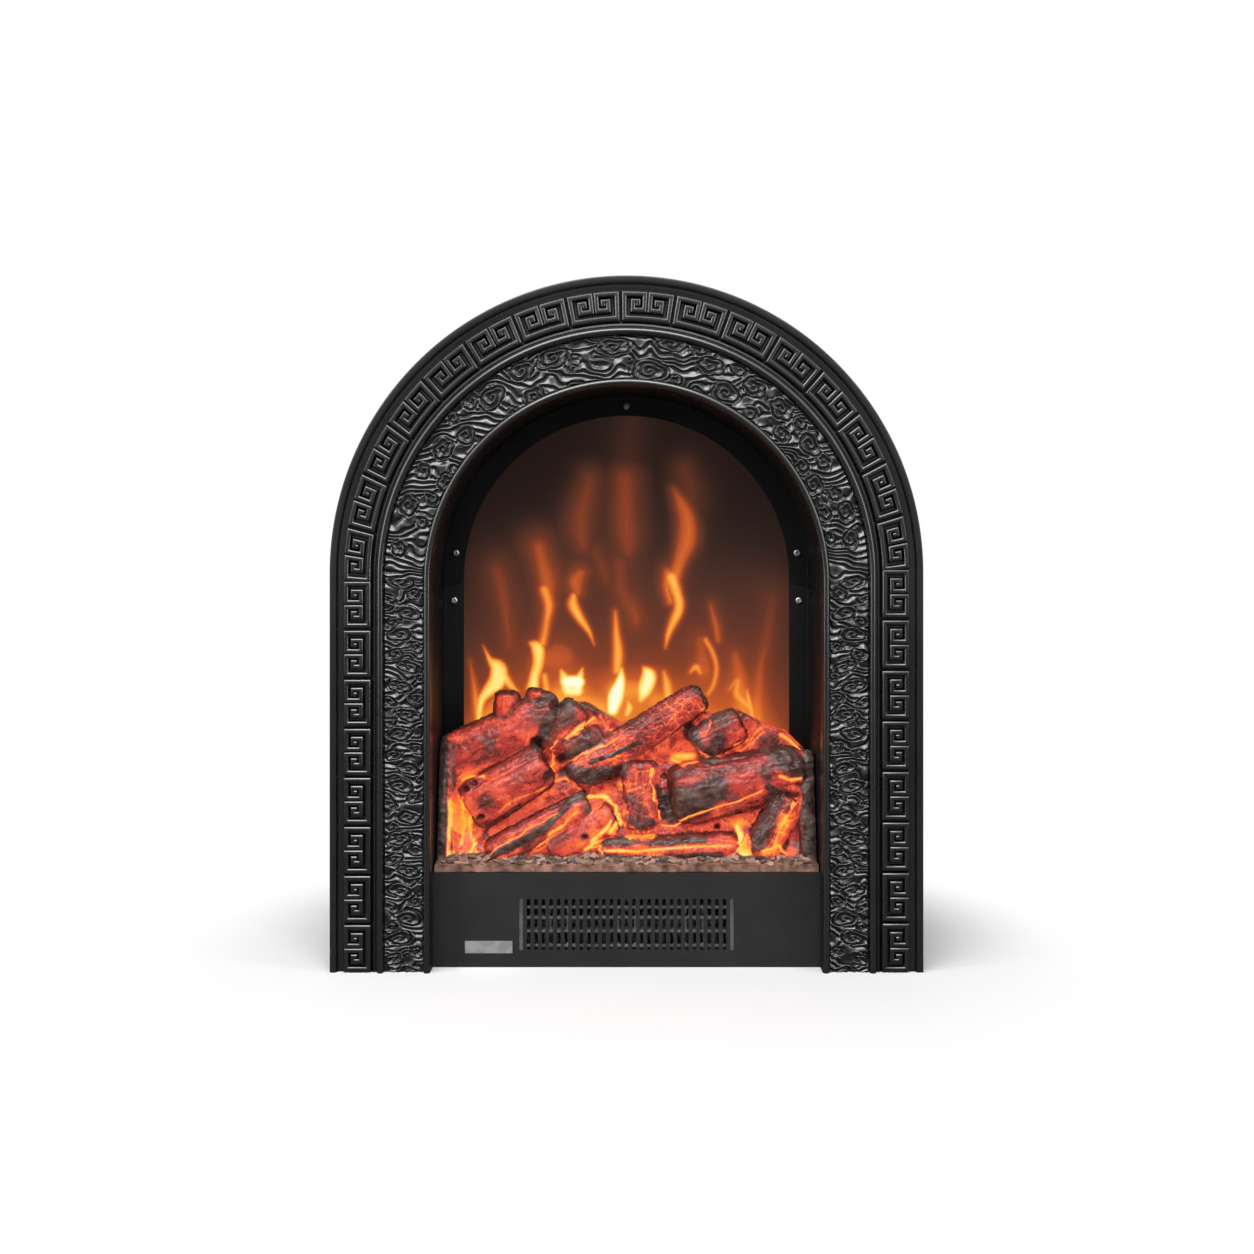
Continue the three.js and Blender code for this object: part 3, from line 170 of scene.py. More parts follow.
sweep = add_node(tree, "ShaderNodeMixShader", {
    0: shown, 1: floor_shader.outputs[0], 2: bright.outputs[0]})
tree.links.new(sweep.outputs[0], tree.nodes["Material Output"].inputs["Surface"])
floor.data.materials.append(floor_material)
print("floor:", sweep_side, "m, grey for the lamps and white beyond", white_reach, "m")

# %% World
ambient_strength = 0.16
dark_room_share = 0.42
dark_floor_share = 0.8
room_start, room_end = -0.92, -0.5
floor_start, floor_end = -0.3, 0.15

world = bpy.data.worlds.new("white_studio")
bpy.context.scene.world = world
world.use_nodes = True
tree = world.node_tree
path = add_node(tree, "ShaderNodeLightPath")
glossy = worked(tree, "MAXIMUM", path.outputs["Is Glossy Ray"], path.outputs["Is Transmission Ray"])
way = add_node(tree, "ShaderNodeTexCoord")
way_parts = add_node(tree, "ShaderNodeSeparateXYZ", {"Vector": way.outputs["Generated"]})
room = varied(tree, way_parts.outputs["Y"], 1 - dark_room_share, 1.0, room_start, room_end, soft=True)
below = varied(tree, way_parts.outputs["Z"], 1 - dark_floor_share, 1.0, floor_start, floor_end, soft=True)
mirrored = worked(tree, "MULTIPLY", glossy, worked(tree, "MULTIPLY", room, below))
seen = worked(tree, "MAXIMUM", path.outputs["Is Camera Ray"], mirrored)
strength = worked(tree, "MAXIMUM", seen, ambient_strength)
tree.nodes["Background"].inputs["Color"].default_value = white
tree.links.new(strength, tree.nodes["Background"].inputs["Strength"])
bpy.context.scene.view_settings.view_transform = "Standard"
print("world strength:", ambient_strength, "for the lamps' level and 1 in view")


# %% Lamps
def soft_lamp(name, place, aim, width, height, watts):
    bpy.ops.object.light_add(type="AREA", location=place)
    lamp = bpy.context.active_object
    lamp.name = name
    lamp.data.shape = "RECTANGLE"
    lamp.data.size, lamp.data.size_y, lamp.data.energy = width, height, watts
    lamp.rotation_euler = (Vector(aim) - Vector(place)).to_track_quat("-Z", "Y").to_euler()
    return lamp


# A wide card overhead is only seen in reflections, so it adds sheen and no level.
# Each lamp: its place, where it aims, its width and height in metres, and its watts.
card_above = soft_lamp("card_above", (0, -1.1, 2.3), (0, -0.1, 0.4), 3.0, 1.8, 30)
card_above.visible_diffuse = False

soft_lamp("lamp_above", (-0.2, -1.15, 1.85), (0, -0.1, 0.5), 1.6, 0.9, 42)
soft_lamp("lamp_left", (-1.5, -0.85, 0.95), (0, 0, 0.4), 0.4, 1.6, 17)
soft_lamp("lamp_right", (1.5, -0.85, 0.95), (0, 0, 0.4), 0.4, 1.6, 14)

# %% [markdown]
# ## Working by hand, in code
# Every piece starts as one of Blender's primitives. A few helpers take the place of the mouse:
# they choose the piece that an operator acts on, read and set where its vertices lie, pull, round
# and cut it, and hand a finished piece to the frame.

# %% Choosing and placing
def deselect():
    bpy.ops.object.select_all(action="DESELECT")


def work_on(piece):
    deselect()
    piece.select_set(True)
    bpy.context.view_layer.objects.active = piece


def started(name):
    """Names the primitive that was just added."""
    piece = bpy.context.active_object
    piece.name = piece.data.name = name
    return piece


def places(piece):
    flat = np.empty(len(piece.data.vertices) * 3)
    piece.data.vertices.foreach_get("co", flat)
    return flat.reshape(-1, 3)


def set_places(piece, points):
    piece.data.vertices.foreach_set("co", np.asarray(points, float).ravel())
    piece.data.update()


def copy_of(piece, name):
    """A copy that has a mesh of its own."""
    copy = piece.copy()
    copy.data = piece.data.copy()
    bpy.context.collection.objects.link(copy)
    copy.name = name
    return copy


# %% Pulling, rounding and cutting
merge_gap = 0.01 * mm


def edit():
    bpy.ops.object.mode_set(mode="EDIT")


def leave():
    bpy.ops.object.mode_set(mode="OBJECT")


def pull(x=0.0, y=0.0, z=0.0):
    """Extrudes what is selected by this much."""
    bpy.ops.mesh.extrude_region_move(TRANSFORM_OT_translate={"value": (x, y, z)})


def face_out(piece):
    """Merges what meets and turns every face outwards."""
    work_on(piece)
    edit()
    bpy.ops.mesh.select_all(action="SELECT")
    bpy.ops.mesh.remove_doubles(threshold=merge_gap)
    bpy.ops.mesh.normals_make_consistent(inside=False)
    leave()
    return piece


def thickened(face, x=0.0, y=0.0, z=0.0):
    """Pulls a flat face, which has just been drawn, into a solid."""
    edit()
    bpy.ops.mesh.select_all(action="SELECT")
    pull(x, y, z)
    leave()
    return face_out(face)


def bevelled(piece, width, segments=2, angle=30):
    """Rounds the edges where two faces meet at more than this angle."""
    work_on(piece)
    bevel = piece.modifiers.new("edges", "BEVEL")
    bevel.width, bevel.segments, bevel.limit_method = width, segments, "ANGLE"
    bevel.angle_limit = math.radians(angle)
    bpy.ops.object.modifier_apply(modifier=bevel.name)
    return piece


def cut_out(piece, cutter):
    """Takes the cutter's shape out of the piece and deletes the cutter."""
    work_on(piece)
    boolean = piece.modifiers.new("cut", "BOOLEAN")
    boolean.operation, boolean.object, boolean.solver = "DIFFERENCE", cutter, "EXACT"
    bpy.ops.object.modifier_apply(modifier=boolean.name)
    bpy.data.objects.remove(cutter)
    return piece


def smooth(piece, angle=35):
    """Smooth shading, except over edges sharper than this angle."""
    work_on(piece)
    bpy.ops.object.shade_smooth_by_angle(angle=math.radians(angle))
    return piece


def flat_shaded(piece, angle=35):
    """Smooth round its edges only, so that a wide flat face stays flat."""
    smooth(piece, angle)
    even = piece.modifiers.new("even", "WEIGHTED_NORMAL")
    even.keep_sharp = True
    bpy.ops.object.modifier_apply(modifier=even.name)
    return piece


# %% Handing over
def settle(piece):
    """Puts the object at the origin, unturned and unscaled, with its place in its mesh."""
    work_on(piece)
    bpy.ops.object.transform_apply(location=True, rotation=True, scale=True)
    return piece


def painted(piece, finish):
    piece.data.materials.clear()
    piece.data.materials.append(finish)
    return piece


def hand_over(piece, body, slot, *replaced):
    """Settles a finished piece and gives it to the frame."""
    settle(piece)
    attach(piece, body)
    if replaced:
        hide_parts(*replaced)
    faces = sum(len(face.vertices) - 2 for face in piece.data.polygons)
    print(f"{piece.name}: {faces} triangles, {len(piece.material_slots)} finish")
    return piece


def joined(pieces, name):
    deselect()
    for piece in pieces:
        piece.select_set(True)
    bpy.context.view_layer.objects.active = pieces[0]
    if len(pieces) > 1:
        bpy.ops.object.join()
    return started(name)


# %% [markdown]
# Most of the sheet and moulded parts here are one section carried round the same arch: up one
# leg, half round and down the other. A circle with as many vertices as the section has corners is
# pulled into the section, and then extruded, spun and extruded again, which keeps the section the
# same all the way round.

# %% Carry a section round the arch
arch_steps = 128


def outline_piece(name, corners):
    """A face with these corners, pulled from a circle."""
    deselect()
    bpy.ops.mesh.primitive_circle_add(vertices=len(corners), fill_type="NGON")
    piece = started(name)
    set_places(piece, corners)
    return piece


def round_the_arch(name, section, spring, foot=0.0, steps=arch_steps):
    """A closed piece from a section of (distance from the middle, depth) corners."""
    piece = outline_piece(name, [(across, y, foot) for across, y in section])
    edit()
    bpy.ops.mesh.select_all(action="SELECT")
    pull(z=spring - foot)
    bpy.ops.mesh.spin(steps=steps, angle=math.pi, center=(0, 0, spring), axis=(0, 1, 0))
    pull(z=foot - spring)
    leave()
    return face_out(piece)

# %% [markdown]
# ## Finishes
# Almost everything here is black, so the finishes differ in their gloss and in their grain. Two
# effects are shared by many of them and are built once as node groups: the fine grain of a
# moulded or powder coated skin, and the drawn lines of a metal sheet. Each group puts out a
# height for the bump and a slow patchiness that varies colour and roughness.

# %% Shared effects
def effect_group(name, scale):
    """A group that gives a height and a slow patchiness at a place, its pattern at this scale."""
    group = bpy.data.node_groups.new(name, "ShaderNodeTree")
    group.interface.new_socket("Place", in_out="INPUT", socket_type="NodeSocketVector")
    size = group.interface.new_socket("Scale", in_out="INPUT", socket_type="NodeSocketFloat")
    size.default_value = scale
    for socket in ("Height", "Patch"):
        group.interface.new_socket(socket, in_out="OUTPUT", socket_type="NodeSocketFloat")
    return group, group.nodes.new("NodeGroupInput"), group.nodes.new("NodeGroupOutput")


grain_group, given, put_out = effect_group("Fine grain", 900.0)
fine = add_node(grain_group, "ShaderNodeTexNoise", {
    "Vector": given.outputs["Place"], "Scale": given.outputs["Scale"], "Detail": 3.0, "Roughness": 0.6})
slow = add_node(grain_group, "ShaderNodeTexNoise", {
    "Vector": given.outputs["Place"], "Scale": 14.0, "Detail": 4.0, "Roughness": 0.55})
grain_group.links.new(fine.outputs["Fac"], put_out.inputs["Height"])
grain_group.links.new(slow.outputs["Fac"], put_out.inputs["Patch"])

drawn_group, given, put_out = effect_group("Drawn metal", 260.0)
drawn_out = 0.04
stretched = add_node(drawn_group, "ShaderNodeMapping", {
    "Vector": given.outputs["Place"], "Scale": (drawn_out, 1.0, 1.0)})
lines = add_node(drawn_group, "ShaderNodeTexNoise", {
    "Vector": stretched.outputs["Vector"], "Scale": given.outputs["Scale"], "Detail": 2.0})
spangle = add_node(drawn_group, "ShaderNodeTexVoronoi", {
    "Vector": given.outputs["Place"], "Scale": 110.0})
patch = add_node(drawn_group, "ShaderNodeSeparateColor", {"Color": spangle.outputs["Color"]})
drawn_group.links.new(lines.outputs["Fac"], put_out.inputs["Height"])
drawn_group.links.new(patch.outputs["Red"], put_out.inputs["Patch"])
print("shared effects:", [group.name for group in bpy.data.node_groups])


# %% Make a finish
bump_depth = 0.2 * mm
metal_gloss = 0.5


def blended(tree, factor, first, second):
    """A colour between two, each a colour or a socket."""
    mix = tree.nodes.new("ShaderNodeMix")
    mix.data_type = "RGBA"
    for socket, value in ((mix.inputs[0], factor), (mix.inputs[6], first), (mix.inputs[7], second)):
        if isinstance(value, bpy.types.NodeSocket):
            tree.links.new(value, socket)
        elif isinstance(value, float):
            socket.default_value = value
        else:
            socket.default_value = (*value, 1.0)
    return mix.outputs[2]


def finish_of(name, group, dark, light, gloss, scale, bump, metallic=0.0, coat=0.0, sheen=0.38):
    """A finish whose colour and roughness vary slowly, with the group's grain as its bump.

    It runs from the dark to the light colour and between the two roughnesses of gloss. The grain
    has this scale and the bump this strength, and sheen is the specular level of what isn't metal.
    """
    material, _, _ = new_material(name)
    tree = material.node_tree
    shader = tree.nodes["Principled BSDF"]
    here = add_node(tree, "ShaderNodeTexCoord")
    effect = add_node(tree, "ShaderNodeGroup", node_tree=group)
    tree.links.new(here.outputs["Object"], effect.inputs["Place"])
    effect.inputs["Scale"].default_value = scale
    colour = blended(tree, varied(tree, effect.outputs["Patch"], 0.0, 1.0), dark, light)
    tree.links.new(colour, shader.inputs["Base Color"])
    tree.links.new(varied(tree, effect.outputs["Patch"], *gloss), shader.inputs["Roughness"])
    height = add_node(tree, "ShaderNodeBump", {
        "Height": effect.outputs["Height"], "Strength": bump, "Distance": bump_depth})
    tree.links.new(height.outputs["Normal"], shader.inputs["Normal"])
    shader.inputs["Metallic"].default_value = metallic
    shader.inputs["Specular IOR Level"].default_value = metal_gloss if metallic else sheen
    shader.inputs["Coat Weight"].default_value = coat
    return material


# %% The finishes
def grey(level, blue_share=1.03):
    """A grey with a trace of blue."""
    return (level, level, level * blue_share)


def plain(level):
    return (level, level, level)


satin_black = finish_of(
    "satin_moulding", grain_group, grey(0.0035), grey(0.006), (0.25, 0.31), 1400.0, 0.08, sheen=0.8)
carved_black = finish_of(
    "carved_moulding", grain_group, grey(0.003), grey(0.005), (0.29, 0.35), 1400.0, 0.08, sheen=0.8)
textured_black = finish_of(
    "textured_coat", grain_group, grey(0.012), grey(0.017), (0.5, 0.58), 1100.0, 0.5, sheen=0.3)
matt_black = finish_of("matt_coat", grain_group, grey(0.012), grey(0.018), (0.5, 0.62), 800.0, 0.3)
liner_black = finish_of(
    "liner_coat", grain_group, grey(0.005), grey(0.0075), (0.42, 0.5), 900.0, 0.1, sheen=0.08)
bright_steel = finish_of(
    "plated_steel", drawn_group, plain(0.5), plain(0.66), (0.22, 0.34), 900.0, 0.1, 1.0)
screw_plate = finish_of(
    "screw_plate", grain_group, plain(0.5), plain(0.64), (0.3, 0.4), 900.0, 0.1, 1.0)
zinc = finish_of(
    "zinc_sheet", drawn_group, (0.36, 0.37, 0.38), (0.55, 0.56, 0.57), (0.32, 0.5), 300.0, 0.1, 0.9)
mill_aluminium = finish_of(
    "mill_aluminium", drawn_group, plain(0.72), plain(0.84), (0.34, 0.44), 420.0, 0.15, 1.0)
brushed_plate = finish_of(
    "brushed_plate", drawn_group, (0.74, 0.74, 0.75), (0.8, 0.8, 0.8), (0.4, 0.46), 700.0, 0.2, 1.0)
mirror_sheet = finish_of(
    "mirror_sheet", drawn_group, plain(0.74), plain(0.82), (0.08, 0.14), 300.0, 0.04, 1.0)
sintered_bronze = finish_of(
    "sintered_bronze", grain_group, (0.3, 0.19, 0.08), (0.42, 0.28, 0.13), (0.4, 0.55), 900.0, 0.4, 0.9)
black_plastic = finish_of(
    "black_plastic", grain_group, grey(0.01), grey(0.018), (0.34, 0.46), 1300.0, 0.25)
print("finishes:", sum(material.use_nodes for material in bpy.data.materials))

# %% [markdown]
# Carved, cast and burnt surfaces are uneven in a way that is smooth close up and wanders further
# off. A cube of seeded random values, read with smooth steps between them, gives such lumps at any
# size, and a grid of seeded points gives a pattern of cells with cracks between them.

# %% Lumps and cells
lattice_side = 32
lattice_seed = 7
lattice = np.random.default_rng(lattice_seed).random((lattice_side,) * 3)
seed_inset, seed_room = 0.15, 0.7
value_layer_step = 5


def lumps(points, size, shift=0.0):
    """Smooth noise from 0 to 1 with lumps of this size. The shift picks another part of it."""
    cell = points / np.asarray(size) + shift
    base = np.floor(cell).astype(int)
    part = cell - base
    part = part * part * (3 - 2 * part)
    value = np.zeros(len(points))
    for corner in np.ndindex(2, 2, 2):
        index = (base + corner) % lattice_side
        weight = np.prod(np.where(np.array(corner) > 0, part, 1 - part), axis=-1)
        value += weight * lattice[index[:, 0], index[:, 1], index[:, 2]]
    return value


def cells(along, across, layer):
    """Distance from the edge of a pattern of cells one unit wide, and a value for each cell."""
    home = np.stack([np.floor(along), np.floor(across)], axis=-1).astype(int)
    first = np.full(len(along), np.inf)
    second = first.copy()
    value = np.zeros(len(along))
    for step in np.ndindex(3, 3):
        cell = home + np.array(step) - 1
        row, column = cell[:, 0] % lattice_side, cell[:, 1] % lattice_side
        seed_u = cell[:, 0] + seed_inset + seed_room * lattice[row, column, layer % lattice_side]
        seed_v = cell[:, 1] + seed_inset + seed_room * lattice[column, row, layer % lattice_side]
        gap = np.hypot(along - seed_u, across - seed_v)
        closer = gap < first
        second = np.where(closer, first, np.minimum(second, gap))
        value = np.where(closer, lattice[row, column, (layer + value_layer_step) % lattice_side], value)
        first = np.where(closer, gap, first)
    return second - first, value

# %% [markdown]
# ## The moulding of the surround
# The surround is one satin black moulding. From its outer edge inwards it has a flat rim, a
# groove, the ground of the key pattern, a cove, a round bead, the ground of the clouds and a
# second bead that turns into the opening. The outer arc and the opening's arc have their centres
# 10 mm apart, so the band is wider at the crown. It is spun about the outer centre, and every
# point is then lowered in proportion to how far in it lies.

# %% Surround moulding
surround_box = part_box("surround")
front_y = surround_box[0].y
outer_radius = surround_box[1].x
outer_spring = surround_box[1].z - outer_radius
band_width = 102 * mm
crown_width = 112 * mm
centre_drop = crown_width - band_width
bead_fullness = 0.85


def half_round(start, end, foot, crest, steps=8):
    """Points of a flattened bead from start to end, foot and crest below the front."""
    middle, half = (start + end) / 2, (end - start) / 2
    turns = [math.pi * (1 - step / steps) for step in range(steps + 1)]
    rise = [math.sin(turn) ** bead_fullness for turn in turns]
    return [(middle + half * math.cos(turn), foot + (crest - foot) * up)
            for turn, up in zip(turns, rise)]


# The section in millimetres: how far in from the rim and how far behind the front
moulding_mm = [
    (0.0, 5.6), (0.35, 4.3), (1.3, 3.6), (5.6, 3.5), (6.6, 3.9), (7.3, 5.3), (8.4, 7.3), (10.9, 7.4),
    (11.5, 7.6), (42.3, 7.6), (43.2, 6.4), (44.6, 5.2), (46.2, 4.9), (46.8, 6.4), (47.8, 6.4),
    *half_round(48.1, 54.6, 3.9, 0.0), (54.8, 7.0), (94.9, 7.0), *half_round(95.1, 101.9, 3.8, 0.0),
    (102.0, 8.0),
]
back_mm = [
    (102.0, 22.0), (92.0, 22.0), (92.0, 12.0), (57.0, 12.0), (57.0, 22.0), (45.0, 22.0),
    (45.0, 12.0), (14.0, 12.0), (14.0, 22.0), (0.0, 22.0),
]
section = [(outer_radius - across * mm, front_y + drop * mm) for across, drop in moulding_mm + back_mm]
moulding = round_the_arch("surround_moulding", section, outer_spring)
points = places(moulding)
rise = np.maximum(points[:, 2] - outer_spring, 0)
inwards = outer_radius - np.hypot(points[:, 0], rise)
foot_end = 1 * mm
points[:, 2] -= np.where(points[:, 2] > foot_end, centre_drop * inwards / band_width, 0)
set_places(moulding, points)
print("moulding:", [round(float(v), 4) for v in (*points.min(0), *points.max(0))])


def on_band(along, across, y):
    """Places on the arch part of the band, along it as an angle and across it from the rim."""
    radius = outer_radius - across
    centre = outer_spring - centre_drop * across / band_width
    return np.stack([radius * np.cos(along), y + 0 * along, centre + radius * np.sin(along)], axis=-1)


# %% [markdown]
# ## The key pattern
# Each unit of the meander is one raised line that curls in at both ends. It is drawn as a square
# cornered path, given a width on both sides, raised, and its upper edges are rounded over, because
# the thin highlights along those edges are what one sees of it. Its flanks slope so that the wells
# between are narrow and dark. There are 8 units on each leg and 16 round the arch, which are bent
# to it. They were laid out from the left foot on, so the pitch differs a little between them.

# %% Key units
key_near, key_far = 15.1 * mm, 41.6 * mm
foot_width, shoulder_width, crest_width = 7.0 * mm, 4.1 * mm, 2.2 * mm
ridge_foot = front_y + 7.8 * mm
ridge_crest = front_y + 1.9 * mm
ridge_shoulder = ridge_crest + 0.75 * mm
key_gap = 3.2 * mm
units_on_leg = 8
units_on_arch = 16
left_pitch, arch_pitch = 49.5 * mm, 53.6 * mm
bend_cuts, cut_offset = 8, 0.11
key_edge = 0.22 * mm
# Half of the meander's line, as shares of a unit's length and of the band's width
hook_shares = [
    (0.3, 0.52), (0.3, 0.7), (0.19, 0.7), (0.19, 0.34), (0.44, 0.34), (0.44, 1.0), (0.0, 1.0), (0.0, 0.0)]


def key_outline(length, width, thickness):
    """Both sides of the meander's line, mitred at its square corners."""
    half = [Vector((along * length, across * width)) for along, across in hook_shares]
    line = half + [Vector((length - point.x, point.y)) for point in reversed(half)]
    sides = []
    for sign in (1, -1):
        side = []
        for index, point in enumerate(line):
            before = (point - line[index - 1]).normalized() if index else None
            after = (line[index + 1] - point).normalized() if index + 1 < len(line) else None
            moved = point.copy()
            for way in {tuple(before or after), tuple(after or before)}:
                moved += Vector((-way[1], way[0])) * sign * thickness / 2
            side.append(moved)
        sides.append(side)
    return sides[0] + sides[1][::-1]


def key_unit(name, length):
    """One raised unit, from 0 to its length along, with cuts that let it bend round the arch."""
    width = key_far - key_near - shoulder_width
    span = length - key_gap - shoulder_width
    foot, shoulder, crest = (
        [(p.x, y, p.y) for p in key_outline(span, width, thickness)]
        for y, thickness in ((ridge_foot, foot_width), (ridge_shoulder, shoulder_width),
                             (ridge_crest, crest_width)))
    unit = outline_piece(name, foot)
    edit()
    bpy.ops.mesh.select_all(action="SELECT")
    pull(y=ridge_shoulder - ridge_foot)
    pull(y=ridge_crest - ridge_shoulder)
    leave()
    set_places(unit, foot + shoulder + crest)
    work_on(unit)
    edit()
    for step in range(1, bend_cuts):
        bpy.ops.mesh.select_all(action="SELECT")
        place = Vector((span * (step + cut_offset) / bend_cuts, 0, 0))
        bpy.ops.mesh.bisect(plane_co=place, plane_no=(1, 0, 0))
    leave()
    face_out(unit)
    points = places(unit)
    points[:, 0] += (key_gap + shoulder_width) / 2
    points[:, 2] = key_far - shoulder_width / 2 - points[:, 2]
    set_places(unit, points)
    return unit


# %% Lay the units
def placed_copy(pattern, name, where):
    """A copy whose every point goes where where(along, across, y) says."""
    copy = copy_of(pattern, name)
    along, y, across = places(pattern).T
    set_places(copy, where(along, across, y))
    return copy


arch_radius = outer_radius - (key_near + key_far) / 2
arch_start = units_on_leg * left_pitch - outer_spring
arch_end = math.pi * arch_radius - arch_start - units_on_arch * arch_pitch
right_pitch = (outer_spring + arch_end) / units_on_leg
keys = []
for side, leg_pitch in ((-1, left_pitch), (1, right_pitch)):
    leg_unit = key_unit("leg_key", leg_pitch)
    for number in range(units_on_leg):
        def on_leg(along, across, y):
            return np.stack([side * (outer_radius - across), y, number * leg_pitch + along], axis=-1)
        keys.append(placed_copy(leg_unit, "key", on_leg))
    bpy.data.objects.remove(leg_unit)
arch_unit = key_unit("arch_key", arch_pitch)
for number in range(units_on_arch):
    def on_arch(along, across, y):
        run = arch_start + number * arch_pitch + along
        return on_band(math.pi - run / arch_radius, across, y)
    keys.append(placed_copy(arch_unit, "key", on_arch))
bpy.data.objects.remove(arch_unit)
key_band = bevelled(face_out(joined(keys, "key_ridges")), key_edge, segments=2, angle=20)
print("key units:", len(keys), "pitch", [round(pitch / mm, 1) for pitch in (
    left_pitch, arch_pitch, right_pitch)], "mm")

# %% [markdown]
# ## The cloud bands
# Between the beads runs a carved band of curling clouds. The ground is cut in overlapping tongues
# that swirl like contour lines, and at each cloud these lines wind up into a scalloped spiral. Both
# are drawn as the turning hand of a clock face, and the two hands are blended, so that the lines
# of the ground join those of the spirals, or end in a fork, without a seam.
# The carving is real geometry, because its silhouette and highlights change with the view. The
# clouds of the arch were placed one by one after the photograph, and the legs repeat a motif.

# %% Where the clouds lie
cloud_near, cloud_far = 54.8 * mm, 95.0 * mm
cloud_ground = front_y + 7.2 * mm
cloud_depth = 6.2 * mm
eye_depth_y = front_y + 4 * mm
# Each cloud of the arch in pixels: middle, half length, half height, and its lean in degrees
arch_clouds_px = [
    (401, 549, 8, 8, 0), (423, 521, 7, 6, 20), (407, 508, 11, 9, -60), (430, 497, 8, 7, 30),
    (448, 480, 11, 9, -50), (424, 470, 8, 7, -55), (441, 451, 12, 9, -45), (464, 436, 10, 8, -45),
    (452, 421, 6, 5, -40), (473, 401, 9, 7, -40), (494, 396, 14, 9, -38), (512, 412, 8, 6, -35),
    (523, 371, 12, 8, -25), (532, 396, 12, 9, -30), (556, 358, 17, 9, -20), (573, 368, 6, 4, -20),
    (574, 385, 11, 6, -15), (610, 348, 17, 8, -5), (631, 365, 6, 6, 0), (653, 370, 19, 10, 3),
    (668, 345, 14, 6, 10), (675, 379, 7, 5, 10), (697, 352, 9, 4, 12), (713, 367, 14, 8, 15),
    (723, 391, 15, 10, 20), (741, 372, 9, 5, 25), (756, 389, 12, 8, 30), (752, 412, 8, 6, 30),
    (779, 408, 13, 9, 38), (799, 424, 8, 6, 42), (783, 434, 10, 7, 45), (808, 443, 12, 8, 48),
    (801, 464, 9, 7, 50), (825, 464, 9, 7, 55), (815, 486, 12, 9, 58), (836, 495, 8, 6, 60),
    (824, 511, 10, 7, 62), (847, 515, 11, 8, 65), (829, 535, 8, 6, 70), (851, 542, 10, 8, 75),
]
leg_period = 103 * mm
# Each cloud of the leg's motif: up and across as shares, half length, half height in mm, and lean
leg_clouds_motif = [
    (0.04, 0.42, 12.5, 6.4, 8), (0.14, 0.78, 8.5, 5.2, -18), (0.22, 0.16, 8.0, 4.8, 20),
    (0.34, 0.62, 12.0, 6.6, 5), (0.42, 0.2, 7.0, 4.2, -25), (0.53, 0.4, 13.0, 6.8, -10),
    (0.64, 0.82, 8.0, 5.2, 18), (0.73, 0.24, 9.5, 5.4, -20), (0.84, 0.64, 12.0, 6.4, 12),
    (0.95, 0.9, 5.5, 4.0, 0),
]
print("clouds:", len(arch_clouds_px), "on the arch and", len(leg_clouds_motif), "in the motif of the legs")

# %% The carver's line
fall_share, lobe_share = 0.34, 0.75
lobe_fullness, crest_sharpness = 1.8, 1.5


def tongues(phase, coiled):
    """Height over one turn: full lobes with a narrow gap, or thin crests where it is coiled."""
    part = phase - np.floor(phase)
    fall = np.clip((1 - part) / fall_share, 0, 1)
    fall = fall * fall * (3 - 2 * fall)
    lobe = 1 - (1 - np.clip(part / lobe_share, 0, 1)) ** lobe_fullness
    return fall * (lobe * (1 - coiled) + part ** crest_sharpness * coiled)


# %% Ground and spirals
tongue_pitch, coil_pitch = 7.2 * mm, 4.4 * mm
swirl_lump = (26 * mm, 10 * mm, 18 * mm)
small_lump = (11 * mm, 10 * mm, 10 * mm)
swirl_turns, small_turns = 3.2, 1.9
cloud_reach = 2.2
eye_offset, scallop_share = 0.2, 0.24
cloud_rim, rim_sharpness = 1.12, 9
ground_height, uneven_height, cloud_lift = 0.3, 0.3, 0.42
fork_level = 0.35


def carved(along, across, upright, clouds, seed):
    """Height of the carving, 0 to 1, at places along, across and up the band, all in metres."""
    swirl = lumps(upright, swirl_lump, 0.37 + seed)
    small = lumps(upright, small_lump, 5.1 + seed)
    flow = swirl_turns * swirl + small_turns * small - upright[:, 2] / tongue_pitch
    wave = np.exp(2j * math.pi * flow)
    lift = np.zeros(len(along))
    for number, (middle, place, half_length, half_height, lean) in enumerate(clouds):
        near = np.abs(along - middle) < cloud_reach * half_length
        off_z, off_x = along[near] - middle, across[near] - place
        run = off_z * math.cos(lean) + off_x * math.sin(lean)
        rise = off_x * math.cos(lean) - off_z * math.sin(lean)
        hand = 1 if number % 2 else -1
        lobes = 3 + number % 3
        mean = math.sqrt(half_length * half_height)
        eye_run = run + hand * eye_offset * half_length
        turn = np.arctan2(rise * half_length / half_height, eye_run)
        whole = np.hypot(eye_run / half_length, rise / half_height)
        scallop = scallop_share * np.abs(np.sin(lobes * turn / 2 + number)) * np.clip(2 * whole - 0.6, 0, 1)
        coil = (whole - scallop) * mean / coil_pitch - hand * turn / (2 * math.pi)
        weight = 1 / (1 + np.exp(np.clip((whole - cloud_rim) * rim_sharpness, -30, 30)))
        wave[near] = wave[near] * (1 - weight) + weight * np.exp(2j * math.pi * coil)
        lift[near] = np.maximum(lift[near], weight)
    tall = ground_height + uneven_height * small + cloud_lift * lift
    clean = np.clip(np.abs(wave) / fork_level, 0, 1)
    return np.clip(tall * clean * tongues(np.angle(wave) / (2 * math.pi), lift), 0, 1)


# %% A carved strip
carving_grain = 0.56 * mm
strip_wall = 1.3 * mm
edge_run, edge_level = 0.9 * mm, 0.25
seed_step = 10 * mm


